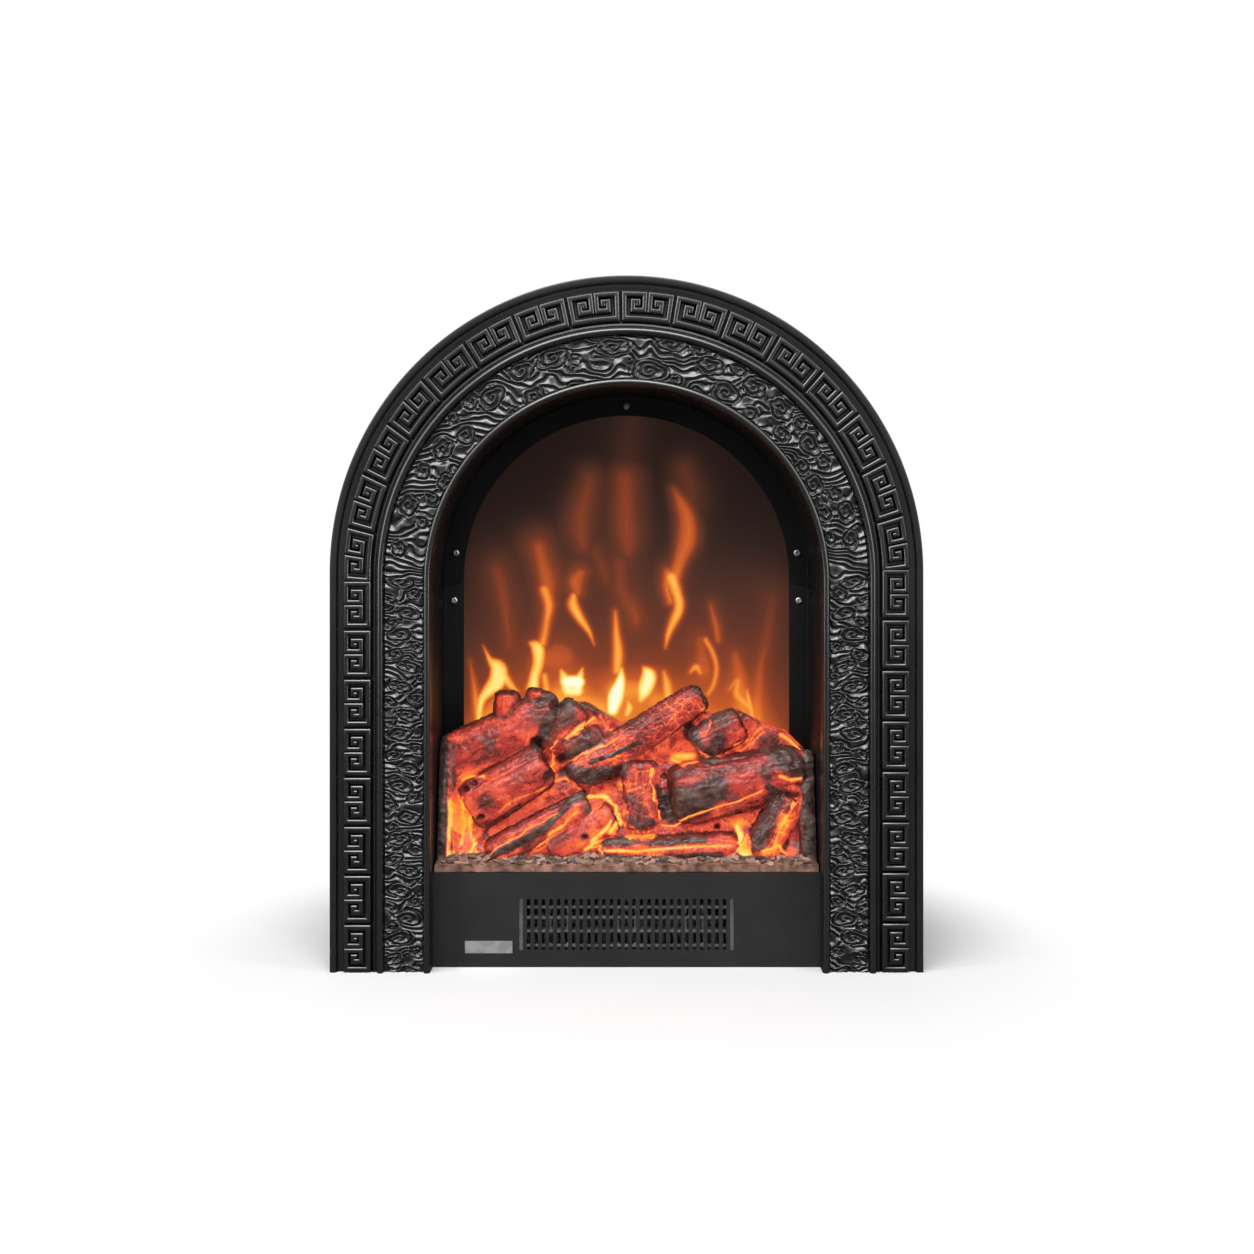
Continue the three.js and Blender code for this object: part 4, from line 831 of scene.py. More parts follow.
def cloud_strip(name, length, clouds, seed, where):
    """A closed strip of the band, carved on its front. where() places it on the moulding."""
    columns = round(length / carving_grain)
    rows = round((cloud_far - cloud_near) / carving_grain)
    deselect()
    bpy.ops.mesh.primitive_grid_add(x_subdivisions=columns, y_subdivisions=rows, size=1)
    strip = started(name)
    flat = places(strip)
    along, across = (flat[:, 0] + 0.5) * length, (flat[:, 1] + 0.5) * (cloud_far - cloud_near)
    upright = where(along, across + cloud_near, np.full(len(along), seed * seed_step))
    height = carved(along, across, upright, clouds, seed)
    edge = np.minimum(across, cloud_far - cloud_near - across)
    height *= np.clip(edge / edge_run, edge_level, 1)
    set_places(strip, where(along, across + cloud_near, cloud_ground - cloud_depth * height))
    edit()
    bpy.ops.mesh.select_mode(type="EDGE")
    bpy.ops.mesh.select_all(action="DESELECT")
    bpy.ops.mesh.select_non_manifold()
    bpy.ops.mesh.extrude_edges_move()
    bpy.ops.transform.resize(value=(1, 0, 1), center_override=(0, cloud_ground + strip_wall, 0))
    bpy.ops.mesh.edge_face_add()
    leave()
    face_out(strip)
    work_on(strip)
    bpy.ops.object.shade_smooth()
    return strip


# %% Carve the arch
arch_seed = 0.7
mid_radius = outer_radius - (cloud_near + cloud_far) / 2
mid_spring = outer_spring - centre_drop * (cloud_near + cloud_far) / 2 / band_width
arch_clouds = []
for across_px, down_px, half_length, half_height, lean in arch_clouds_px:
    x, z = from_photo(across_px, down_px, eye_depth_y)
    angle = math.atan2(z - mid_spring, x)
    place = outer_radius - math.hypot(x, z - mid_spring) - cloud_near
    tangent = math.pi / 2 - angle
    arch_clouds.append(((math.pi - angle) * mid_radius, place, half_length * front_scale,
                        half_height * front_scale, math.radians(lean) - tangent))
arch_clouds.sort(key=lambda cloud: cloud[2])
arch_strip = cloud_strip(
    "clouds_arch", math.pi * mid_radius, arch_clouds, arch_seed,
    lambda along, across, y: on_band(math.pi - along / mid_radius, across, y))
print("arch strip:", len(arch_strip.data.vertices), "points")

# %% Carve the legs
leg_seed = 2.0


def leg_clouds(length):
    """The motif's clouds, repeated down a leg from its top. Along is upwards, so height comes first."""
    clouds = []
    for turn in range(math.ceil(length / leg_period) + 1):
        for up, over, half_length, half_height, lean in leg_clouds_motif:
            middle = length - (turn + up) * leg_period
            clouds.append((middle, over * (cloud_far - cloud_near), half_height * mm, half_length * mm,
                           math.radians(lean)))
    return sorted(clouds, key=lambda cloud: cloud[3])


strips = [arch_strip]
for name, side in (("clouds_left", -1), ("clouds_right", 1)):
    def beside(along, across, y):
        spring = outer_spring - centre_drop * across / band_width
        return np.stack([side * (outer_radius - across), y, along / mid_spring * spring], axis=-1)
    strips.append(cloud_strip(name, mid_spring, leg_clouds(mid_spring), leg_seed, beside))

# %% Hand the surround over
for piece, angle in ((moulding, 28), (key_band, 45)):
    smooth(piece, angle)
hand_over(painted(moulding, satin_black), "casing", "surround", "surround")
hand_over(painted(key_band, satin_black), "casing", "surround")
for strip in strips:
    hand_over(painted(strip, carved_black), "casing", "surround")

# %% [markdown]
# ## The lower panel
# The panel under the logs is one coated steel sheet with a foot folded back along the floor. Its
# 29 slots are punched, which leaves round ends and slightly broken edges. The sheet and its foot
# are drawn as a section and pulled across the width, one slot is drawn and copied for the punch,
# and the edges are rounded after the cut so that every slot catches a thin line of light.

# %% Sheet and slots
panel_low, panel_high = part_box("lower_panel")
panel_sheet = 1.5 * mm
foot_low, foot_high = 1.8 * mm, 3.3 * mm
slot_count = 29
slot_pitch = 7.7 * mm
slot_width = 3.6 * mm
slot_bottom, slot_top = 17 * mm, 69.7 * mm
punch_overrun = 1 * mm
sheet_edge = 0.22 * mm

front, rear = panel_low.y, panel_low.y + panel_sheet
panel_section = [
    (front, panel_low.z), (rear, panel_low.z), (rear, foot_low), (panel_high.y, foot_low),
    (panel_high.y, foot_high), (rear, foot_high), (rear, panel_high.z), (front, panel_high.z)]
panel = outline_piece("slotted_panel", [(panel_low.x, y, z) for y, z in panel_section])
thickened(panel, x=panel_high.x - panel_low.x)


def round_ended(width, bottom, top, steps=8):
    """Corners of an upright slot with half round ends, as (x, z)."""
    half = width / 2
    turns = [math.pi * step / steps for step in range(steps + 1)]
    upper = [(half * math.cos(turn), top - half + half * math.sin(turn)) for turn in turns]
    lower = [(-half * math.cos(turn), bottom + half - half * math.sin(turn)) for turn in turns]
    return upper + lower


punch = outline_piece("punch", [(x, front - punch_overrun, z) for x, z in round_ended(
    slot_width, slot_bottom, slot_top)])
thickened(punch, y=panel_sheet + 2 * punch_overrun)
punches = []
for number in range(slot_count):
    copy = copy_of(punch, "punch")
    moved = places(copy)
    moved[:, 0] += (number - (slot_count - 1) / 2) * slot_pitch
    set_places(copy, moved)
    punches.append(copy)
bpy.data.objects.remove(punch)
cut_out(panel, joined(punches, "punches"))
bevelled(panel, sheet_edge, segments=2, angle=40)
hand_over(painted(flat_shaded(panel), textured_black), "casing", "panel_coat", "lower_panel")

# %% [markdown]
# ## The heater behind the slots
# Bright bars and a crimped fin strip show through the slots. The strip is aluminium foil folded to
# and fro between two bars. One folded line, given a thickness, is pulled through the depth of the
# heater. Sheets this thin are cheap as geometry and glint in a way that no texture would.

# %% Crimped fins
core_low, core_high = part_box("heater_core")
fin_pitch = 3.4 * mm
foil = 0.25 * mm
fin_inset, fin_setback, fin_depth = 3 * mm, 1.5 * mm, 9 * mm
# The top and bottom line of each strip, as heights in the photograph
strips_px = [(929.5, 942.5), (913.5, 918.5)]
folds = int((core_high.x - core_low.x - 2 * fin_inset) / (fin_pitch / 2))
fin_strips = []
for top_px, bottom_px in strips_px:
    top = from_photo(0, top_px, core_low.y)[1]
    bottom = from_photo(0, bottom_px, core_low.y)[1]
    line = [(core_low.x + fin_inset + step * fin_pitch / 2, top if step % 2 else bottom)
            for step in range(folds + 1)]
    corners = [(x - foil / 2, z) for x, z in line] + [(x + foil / 2, z) for x, z in reversed(line)]
    strip = outline_piece("fins", [(x, core_low.y + fin_setback, z) for x, z in corners])
    fin_strips.append(thickened(strip, y=fin_depth))
hand_over(painted(joined(fin_strips, "heater_fins"), mill_aluminium), "casing", "aluminium")

# %% [markdown]
# ## The plate on the panel
# Left of the slots a small bare aluminium plate is stuck to the panel. It is a rectangle with
# slightly rounded corners, less than half a millimetre thick, and it stays bare.

# %% Bare plate
def block(name, low, high):
    """A cuboid between two corners."""
    deselect()
    bpy.ops.mesh.primitive_cube_add(size=1)
    made = started(name)
    low, high = np.array(low), np.array(high)
    set_places(made, low + (places(made) + 0.5) * (high - low))
    return made


plate_left, plate_right = -165 * mm, -116.5 * mm
plate_foot, plate_top = 14.3 * mm, 26.9 * mm
plate_proud, plate_gap = 0.45 * mm, 0.02 * mm
plate_edge = 0.16 * mm
bare_plate = block("bare_plate", (plate_left, front - plate_proud, plate_foot),
                   (plate_right, front - plate_gap, plate_top))
bevelled(bare_plate, plate_edge, segments=2, angle=30)
hand_over(painted(flat_shaded(bare_plate), brushed_plate), "casing", "bright_sheet")

# %% [markdown]
# ## The liner of the firebox
# The hood and the two side walls are thin black sheet, each bent at its back edge into a flange
# that covers the rim of the screen. The real ones are folded and rolled, so their section is drawn
# with a small round bend. The hood is that section spun round the arch, and a side wall is the
# same section pulled upwards, with a hair's breadth between them at the seam.

# %% Hood and side walls
hood_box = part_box("liner_hood")
hood_radius = hood_box[1].x
hood_spring = hood_box[1].z - hood_radius
liner_sheet = 1.2 * mm
bend = 2.4 * mm
flange_radius = 177 * mm
seam_gap = 0.3 * mm
seam_reach = 10 * mm
liner_edge = 0.2 * mm


def liner_section(outer, flange_inner, near, far, steps=5):
    """An L of sheet: a wall along the depth and a flange towards the middle, with a round bend."""
    def corner(radius):
        turns = [math.pi / 2 * step / steps for step in range(steps + 1)]
        centre = (outer - bend, far - bend)
        return [(centre[0] + radius * math.cos(turn), centre[1] + radius * math.sin(turn))
                for turn in turns]
    outside = [(outer, near), *corner(bend), (flange_inner, far)]
    inside = [(outer - liner_sheet, near), *corner(bend - liner_sheet),
              (flange_inner, far - liner_sheet)]
    return outside + inside[::-1]


hood_section = liner_section(hood_radius, flange_radius, hood_box[0].y, hood_box[1].y)
hood = round_the_arch("hood", hood_section, hood_spring, foot=hood_box[0].z)
side_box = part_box("liner_right")
points = places(hood)
on_flange = (np.abs(points[:, 0]) < hood_radius - bend) & (points[:, 2] < hood_spring - 0.1 * mm)
points[on_flange, 2] = side_box[1].z + seam_gap
set_places(hood, points)
walls = [hood]
for name, side in (("left", -1), ("right", 1)):
    wall = outline_piece(f"wall_{name}", [(side * x, y, side_box[0].z) for x, y in hood_section])
    thickened(wall, z=hood_box[0].z - seam_gap - side_box[0].z)
    points = places(wall)
    upper = (np.abs(points[:, 0]) < hood_radius - bend) & (points[:, 2] > hood_box[0].z - seam_reach)
    points[upper, 2] = side_box[1].z
    set_places(wall, points)
    walls.append(wall)
for wall, node in zip(walls, ("liner_hood", "liner_left", "liner_right")):
    bevelled(wall, liner_edge, segments=2, angle=50)
    hand_over(painted(smooth(wall, 40), liner_black), "casing", "liner_coat", node)

# %% [markdown]
# ## Five screws
# Plated pan head screws hold the liner. One is modelled: a disc whose front is raised and drawn in
# by steps into a dome, with a shank pulled out of its back and a cross cut into it by two tapered
# blades. The others are copies, each turned by its own angle, as a screwdriver leaves them.

# %% Pan head screw
screw_nodes = ["hood_screw_1", "hood_screw_2", "hood_screw_3", "jamb_screw_left", "jamb_screw_right"]
screw_low, screw_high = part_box(screw_nodes[0])
head_radius = (screw_high.x - screw_low.x) / 2
head_height = 2.4 * mm
shank_length = screw_high.y - screw_low.y - head_height
shank_radius = 1.9 * mm
# The dome's profile, as shares of the head's radius and height
dome = [(1.0, 0.0), (1.0, 0.25), (0.97, 0.5), (0.88, 0.72), (0.7, 0.88), (0.4, 0.98), (0.0, 1.0)]
deselect()
bpy.ops.mesh.primitive_circle_add(vertices=32, radius=head_radius, fill_type="NGON")
screw = started("pan_head")
edit()
bpy.ops.mesh.select_mode(type="FACE")
bpy.ops.mesh.select_all(action="SELECT")
for (before, start), (share, rise) in zip(dome, dome[1:-1]):
    pull(z=(rise - start) * head_height)
    bpy.ops.transform.resize(value=(share / before, share / before, 1), center_override=(0, 0, 0))
leave()
edit()
bpy.ops.mesh.select_all(action="DESELECT")
leave()
for face in screw.data.polygons:
    face.select = abs(face.center.z) < merge_gap and abs(face.normal.z) > 0.9
edit()
bpy.ops.mesh.inset(thickness=head_radius - shank_radius)
pull(z=-shank_length)
leave()
face_out(screw)

# %% The cross in the head
cross_share, blade_share, tip_share = 1.3, 0.34, 0.55
cross_depth_share = 1.2
cross_overrun = 1.1
screw_edge = 0.1 * mm
for turn in (0, math.pi / 2):
    deselect()
    bpy.ops.mesh.primitive_cube_add(size=1)
    blade = started("blade")
    points = places(blade)
    taper = np.where(points[:, 2] > 0, 1.0, tip_share)
    points = np.stack([
        points[:, 0] * head_radius * cross_share * taper,
        points[:, 1] * head_radius * blade_share * taper,
        head_height * cross_overrun + (points[:, 2] - 0.5) * head_height * cross_depth_share], axis=-1)
    swing = np.array([
        [math.cos(turn), -math.sin(turn), 0], [math.sin(turn), math.cos(turn), 0], [0, 0, 1]])
    set_places(blade, points @ swing.T)
    cut_out(screw, face_out(blade))
bevelled(screw, screw_edge, segments=1, angle=45)
painted(smooth(screw, 45), screw_plate)
print("screw:", len(screw.data.polygons), "faces")


# %% Place the screws
def screw_copy(name, x, seat, z, turn, way):
    """A copy of the pan head at x and z, seated at depth seat and facing along y, -1 or 1."""
    copy = copy_of(screw, name)
    across, up, out = places(copy).T
    side = across * math.cos(turn) - up * math.sin(turn)
    rise = across * math.sin(turn) + up * math.cos(turn)
    set_places(copy, np.stack([x + side, seat + way * out, z + rise], axis=-1))
    return face_out(copy)


screw_turns = [0.3, 0.9, -0.2, 0.65, 1.2]
for node, turn in zip(screw_nodes, screw_turns):
    low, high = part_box(node)
    head = screw_copy(
        node + "_head", (low.x + high.x) / 2, low.y + head_height, (low.z + high.z) / 2, turn, -1)
    hand_over(head, "casing", "screw_steel", node)

# %% [markdown]
# ## The log set
# The logs are one moulded, painted, translucent shell with lamps under it. It is built the way a
# sculptor would: plain tapered rods are laid over a heap, fused into one skin, and the skin is then
# pushed in and out for bark, cracks, knots and cut ends. Each log has its own direction, so that
# the bark runs along it.

# %% Lay the logs
log_low, log_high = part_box("log_set")
# Each log in millimetres: start and end as (across, up, behind the front), and its two radii
log_rows = [
    ((-196, 195, 92), (-75, 254, 92), 30, 27), ((-97, 246, 90), (-89, 275, 90), 17, 16),
    ((-127, 238, 88), (-127, 275, 82), 15, 13), ((-165, 154, 66), (-84, 202, 70), 27, 25),
    ((-143, 108, 54), (-40, 162, 58), 16, 15), ((-80, 112, 58), (-14, 149, 62), 18, 19),
    ((-86, 218, 86), (-50, 258, 88), 17, 17), ((-66, 214, 76), (-26, 232, 78), 13, 12),
    ((-56, 186, 72), (80, 270, 92), 20, 17), ((74, 216, 82), (122, 242, 84), 20, 19),
    ((48, 168, 64), (188, 194, 78), 33, 27), ((14, 203, 68), (14, 134, 58), 19, 17),
    ((-30, 110, 58), (117, 117, 58), 15, 15), ((138, 106, 60), (170, 168, 62), 21, 17),
    ((184, 104, 72), (187, 164, 74), 15, 15), ((-188, 98, 70), (-184, 164, 74), 18, 19),
    ((-191, 92, 44), (-188, 214, 70), 9, 10), ((191, 92, 44), (188, 214, 70), 9, 10),
]
silhouette_px = [
    (437, 872), (437, 760), (449, 749), (466, 737), (495, 722), (520, 708), (541, 702), (560, 706),
    (583, 704), (598, 712), (620, 724), (640, 722), (662, 712), (690, 706), (715, 716), (740, 712),
    (762, 724), (786, 733), (803, 750), (813, 764), (815, 800), (816, 872),
]
log_start = np.array([(x, back, z) for (x, z, back), _, _, _ in log_rows]) * mm
log_end = np.array([(x, back, z) for _, (x, z, back), _, _ in log_rows]) * mm
log_start[:, 1] += front_y
log_end[:, 1] += front_y
log_radii = np.array([(near, far) for _, _, near, far in log_rows]) * mm

# The higher this is, the flatter are the ends of a rod
blunt = 7


def square_to(direction):
    """Two directions that are square to a log's own and to each other."""
    side = np.cross(direction, (0, 1, 0))
    side /= np.linalg.norm(side)
    return side, np.cross(direction, side)


rods = []
for start, end, (near, far) in zip(log_start, log_end, log_radii):
    axis = end - start
    side_of_log, third = square_to(axis / np.linalg.norm(axis))
    deselect()
    bpy.ops.mesh.primitive_uv_sphere_add(segments=28, ring_count=24, radius=1)
    rod = started("rod")
    unit = places(rod)
    share = 0.5 + 0.5 * np.sign(unit[:, 2:3]) * np.abs(unit[:, 2:3]) ** (2 / blunt)
    round_part = np.hypot(unit[:, :1], unit[:, 1:2])
    swell = (near + (far - near) * share) * np.clip(round_part, 1e-6, 1) ** (2 / blunt - 1)
    set_places(rod, start + share * axis + swell * (unit[:, :1] * side_of_log + unit[:, 1:2] * third))
    rods.append(rod)
print("rods:", len(rods))

# %% The heap behind and between them
wall_thickness = 24 * mm
wall_overrun, heap_overrun = 4 * mm, 3 * mm
wall_y = log_high.y - wall_thickness
wall_corners = []
for across_px, down_px in silhouette_px:
    x, z = from_photo(across_px, down_px, wall_y)
    wall_corners.append((x, wall_y, z))
wall = thickened(outline_piece("back_wall", wall_corners), y=log_high.y + wall_overrun - wall_y)
# The heap from the side in millimetres: how far behind the front and how far up
heap_mm = [(-4, -4), (96, -4), (96, 100), (74, 100), (58, 78), (46, 44), (30, 14), (18, 8), (-4, 7)]
heap = outline_piece("heap", [(log_low.x - heap_overrun, log_low.y + back * mm, log_low.z + up * mm)
                              for back, up in heap_mm])
thickened(heap, x=log_high.x - log_low.x + 2 * heap_overrun)

# %% Fuse them into one skin
skin_grain = 1.35 * mm
log_skin = joined([*[face_out(rod) for rod in rods], wall, heap], "log_skin")
work_on(log_skin)
fuse = log_skin.modifiers.new("fuse", "REMESH")
fuse.mode, fuse.voxel_size, fuse.adaptivity = "VOXEL", skin_grain, 0.0
bpy.ops.object.modifier_apply(modifier=fuse.name)
soften = log_skin.modifiers.new("soften", "SMOOTH")
soften.factor, soften.iterations = 0.5, 3
bpy.ops.object.modifier_apply(modifier=soften.name)
print("skin:", len(log_skin.data.polygons), "faces")

# %% [markdown]
# ## Bark, cracks and glow
# The skin is measured against the rods: the nearest rod gives a place along and round that log,
# and the next nearest tells how deep a place lies between two logs. Lumps, bark ridges and a
# pattern of charred cells come from seeded noise in the log's own directions. The embers, cracks,
# knots and charred grooves that give this set its look were read off the photograph one by one
# and are listed as strokes and spots.

# %% Strokes
def to_photo(points):
    """The pixel of the photograph that shows each point."""
    scale = front_scale * (points[:, 1] - camera.location.y) / camera_distance
    return np.stack([photo_middle_x + points[:, 0] / scale,
                     photo_horizon + (camera_height - points[:, 2]) / scale], axis=-1)


def reach_of(pixels, line):
    """Distance in pixels from a line through these corners."""
    corners = np.array(line, float)
    nearest = np.full(len(pixels), 1e9)
    for start, end in zip(corners[:-1], corners[1:]):
        run = end - start
        share = np.clip((pixels - start) @ run / (run @ run), 0, 1)
        nearest = np.minimum(nearest, np.hypot(*(pixels - start - share[:, None] * run).T))
    return nearest


# %% Measure the skin
log_reach = 3.5 * mm
skin = places(log_skin)
normals = np.empty(len(skin) * 3)
log_skin.data.vertices.foreach_get("normal", normals)
normals = normals.reshape(-1, 3)
axes = log_end - log_start
lengths = np.linalg.norm(axes, axis=1)
distance = np.empty((len(log_rows), len(skin)))
run_along = np.empty_like(distance)
run_round = np.empty_like(distance)
for row, (start, axis, length, radii) in enumerate(zip(log_start, axes, lengths, log_radii)):
    direction = axis / length
    side_of_log, third = square_to(direction)
    from_start = skin - start
    share = np.clip(from_start @ direction / length, 0, 1)
    away = from_start - share[:, None] * axis
    radius = radii[0] + (radii[1] - radii[0]) * share
    distance[row] = np.linalg.norm(away, axis=1) - radius
    run_along[row] = from_start @ direction
    run_round[row] = np.arctan2(away @ third, away @ side_of_log) * radius
order = np.argsort(distance, axis=0)
own = order[0]
picked = np.arange(len(skin))
own_gap = distance[own, picked]
on_rod = own_gap < log_reach
next_gap = distance[order[1], picked]
along_bark = run_along[own, picked]
round_bark = run_round[own, picked]
pixels = to_photo(skin)
print("points on a log:", int(on_rod.sum()), "of", len(skin))

# %% [markdown]
# The tables below are places in the photograph. A stroke is a line of pixels with a half width,
# and a spot is a middle, two radii and a strength.

# %% Embers, char and knots
hot_strokes = [
    ([(446, 800), (452, 812), (449, 835), (447, 856)], 7, 1.0),
    ([(460, 800), (466, 822), (462, 845)], 5, 0.95), ([(450, 852), (468, 856), (474, 842)], 6, 1.05),
    ([(470, 818), (472, 840), (478, 858)], 4, 0.95), ([(462, 781), (472, 777), (486, 777)], 2.5, 0.95),
    ([(553, 768), (553, 750), (557, 742)], 2.5, 0.9), ([(566, 738), (580, 727), (594, 718)], 3, 1.0),
    ([(600, 716), (606, 728), (618, 733)], 2.5, 0.85), ([(572, 760), (590, 750), (620, 738)], 2.2, 0.92),
    ([(556, 780), (565, 777), (572, 782)], 3, 0.85), ([(498, 812), (520, 798), (548, 786)], 1.8, 0.85),
    ([(548, 836), (565, 826), (578, 812)], 3, 0.95),
    ([(590, 797), (604, 796), (615, 806), (620, 820), (612, 832)], 4.5, 1.05),
    ([(612, 822), (604, 832), (592, 842)], 4, 1.05), ([(586, 848), (598, 846), (602, 856)], 4, 1.0),
    ([(672, 760), (684, 765), (698, 762)], 3.5, 1.1),
    ([(653, 768), (651, 782), (655, 800), (659, 818)], 1.8, 1.0),
    ([(661, 824), (672, 825), (690, 817), (712, 809), (740, 802), (762, 791)], 1.8, 0.95),
    ([(604, 851), (640, 852), (676, 849), (700, 847), (732, 846)], 2.2, 1.0),
    ([(738, 826), (742, 838), (738, 852), (750, 856)], 4, 1.1),
    ([(778, 776), (790, 780), (802, 777)], 3, 0.95),
    ([(796, 800), (790, 812), (782, 826), (774, 846)], 2.5, 0.95),
    ([(762, 852), (778, 846), (792, 856)], 3, 1.0), ([(782, 735), (792, 740), (802, 749)], 4, 0.95),
    ([(696, 700), (712, 724), (706, 735)], 1.2, 0.8),
    ([(664, 704), (676, 712), (668, 724), (652, 730)], 1.0, 0.85),
    ([(735, 745), (750, 738), (762, 726)], 2, 0.8),
    ([(700, 752), (720, 758), (745, 748), (764, 730)], 2.2, 0.82),
    ([(620, 780), (628, 790), (640, 786)], 1.6, 0.85), ([(486, 858), (520, 836), (556, 812)], 1.6, 0.88),
    ([(530, 858), (545, 846), (548, 838)], 3, 0.8),
]
dark_strokes = [
    ([(486, 858), (512, 846), (545, 828), (572, 800), (584, 794)], 3.4, 0.9),
    ([(484, 838), (490, 824), (520, 806)], 2.2, 0.45),
    ([(538, 748), (546, 726), (558, 704), (578, 692)], 5, 0.85),
    ([(560, 758), (575, 753), (600, 744)], 4, 0.8), ([(566, 772), (590, 776), (620, 772)], 7, 0.75),
    ([(590, 762), (610, 756), (640, 742)], 2, 0.8), ([(664, 812), (680, 816), (706, 806)], 7, 0.85),
    ([(656, 790), (664, 806), (672, 818)], 5, 0.8), ([(690, 730), (700, 752), (712, 758)], 6, 0.8),
    ([(704, 724), (722, 712), (738, 706)], 3, 0.7), ([(782, 765), (800, 770), (806, 790)], 5, 0.8),
    ([(768, 786), (778, 793), (798, 794)], 3, 0.85), ([(606, 843), (660, 842), (704, 840)], 3, 0.75),
    ([(606, 858), (650, 860), (720, 855)], 3, 0.85), ([(628, 818), (640, 826), (652, 822)], 4, 0.7),
    ([(696, 688), (704, 696), (708, 706)], 3, 0.9), ([(560, 700), (584, 700), (600, 716)], 3, 0.55),
    ([(664, 806), (690, 800), (716, 790)], 12, 0.68), ([(768, 742), (786, 756), (800, 772)], 11, 0.62),
    ([(632, 800), (644, 822)], 8, 0.42), ([(775, 797), (768, 820), (757, 843)], 8, 0.6),
]
dark_spots = [
    (466, 789, 4, 3.5, 1.0), (474, 783, 4, 3, 1.0), (481, 817, 4.5, 3.5, 1.0), (536, 741, 8, 6, 0.95),
    (547, 776, 5, 6, 0.8), (585, 837, 4.5, 3.5, 0.9), (738, 811, 4.5, 3.5, 0.95), (717, 826, 4, 3.2, 0.95),
    (664, 776, 4, 3, 0.7), (540, 703, 8, 7, 0.5), (587, 732, 5, 6, 0.6),
]
hole_middle, hole_radii = (686, 752), (15, 11)

# %% Ash and bark
# Beyond these columns of the photograph the logs are given painted shade instead of glow
lit_left_px, lit_right_px = 445, 805
ash_line_px, ash_waver_px, ash_blend_px = 858, 5, 2.5
ash_waver = ash_waver_px * (lumps(skin, 12 * mm) - 0.5)
ash_level = 0.5 + 0.5 * np.tanh((pixels[:, 1] - ash_line_px - ash_waver) / ash_blend_px)
# Every log has bark of its own, because its number moves it on through the noise
log_step_mm = 37
body = np.stack([along_bark, round_bark, own * log_step_mm * mm], axis=-1)
big = lumps(body, (38 * mm, 16 * mm, 40 * mm), 3.1)
worn = lumps(body, (9 * mm, 5 * mm, 9 * mm), 1.7)
ridges = 1 - 2 * np.abs(lumps(body, (30 * mm, 4.2 * mm, 30 * mm), 8.3) - 0.5)
worms = 1 - 2 * np.abs(lumps(skin, (5.5 * mm, 5.5 * mm, 4.5 * mm), 5.2) - 0.5)
pitted = lumps(skin, (3.4 * mm, 3.4 * mm, 3.0 * mm), 9.9)

# %% Charred cells
cell_length, cell_width, cell_waver, cell_layer = 11.5 * mm, 8.5 * mm, 0.25, 3
heap_cells, crack_width = 0.25, 0.085
brick_edge, brick_value = cells(
    along_bark / cell_length + cell_waver * worn, round_bark / cell_width + cell_waver * big, cell_layer)
# How strongly each log shows them, by its place in the rows of logs, and the share of the others
other_share = 0.1
brick_logs = {8: 1.0, 9: 0.35, 11: 1.0, 12: 0.5, 13: 0.8, 4: 0.3, 0: 0.15, 7: 0.2}
brick = np.array([brick_logs.get(row, other_share) for row in range(len(log_rows))])[own]
brick = np.where(on_rod, brick, heap_cells)
crack = np.exp(-(brick_edge / crack_width) ** 2)
print("cells:", round(float(crack.mean()), 3), "of the skin is a crack between them")

# %% Lay the strokes on the skin
# Strokes are only laid on what faces the front, and their lines waver a little with the bark
front_facing = np.clip(-normals[:, 1] * 1.5 + 0.4, 0, 1)
hot_waver_px, dark_waver_px = 5.5, 2.5
hot_line = np.zeros(len(skin))
hot_halo = np.zeros(len(skin))
taper = lumps(skin, (9 * mm, 30 * mm, 7 * mm), 6.6)
for line, width, strength in hot_strokes:
    reach = reach_of(pixels + hot_waver_px * (np.stack([worn, big], axis=-1) - 0.5), line)
    reach /= width * (0.3 + 1.0 * taper)
    hot_line = np.maximum(hot_line, strength * np.exp(-reach ** 2 * 0.8))
    hot_halo = np.maximum(hot_halo, strength * np.exp(-reach * 0.55))
hot_line *= front_facing
hot_halo *= front_facing
char_line = np.zeros(len(skin))
for line, width, strength in dark_strokes:
    reach = reach_of(pixels + dark_waver_px * (np.stack([big, worn], axis=-1) - 0.5), line) / width
    char_line = np.maximum(char_line, strength * np.exp(-reach ** 4 * 0.6) * (0.75 + 0.5 * worn))

# %% Knots and the hole
knot_dent = np.zeros(len(skin))
knot_ring = np.zeros(len(skin))
for across, down, wide, high, strength in dark_spots:
    reach = np.hypot((pixels[:, 0] - across) / wide, (pixels[:, 1] - down) / high)
    knot_dent = np.maximum(knot_dent, strength * np.exp(-(reach / 0.8) ** 4))
    knot_ring = np.maximum(knot_ring, strength * np.exp(-((reach - 1.25) / 0.35) ** 2))
knot_dent, knot_ring = knot_dent * front_facing, knot_ring * front_facing
hole_across = (pixels[:, 0] - hole_middle[0]) / hole_radii[0]
hole_low = (pixels[:, 1] - hole_middle[1]) / hole_radii[1]
in_hole = np.exp(-(np.hypot(hole_across, hole_low) / 0.95) ** 6) * front_facing
print("strokes:", len(hot_strokes) + len(dark_strokes), "knots:", len(dark_spots))

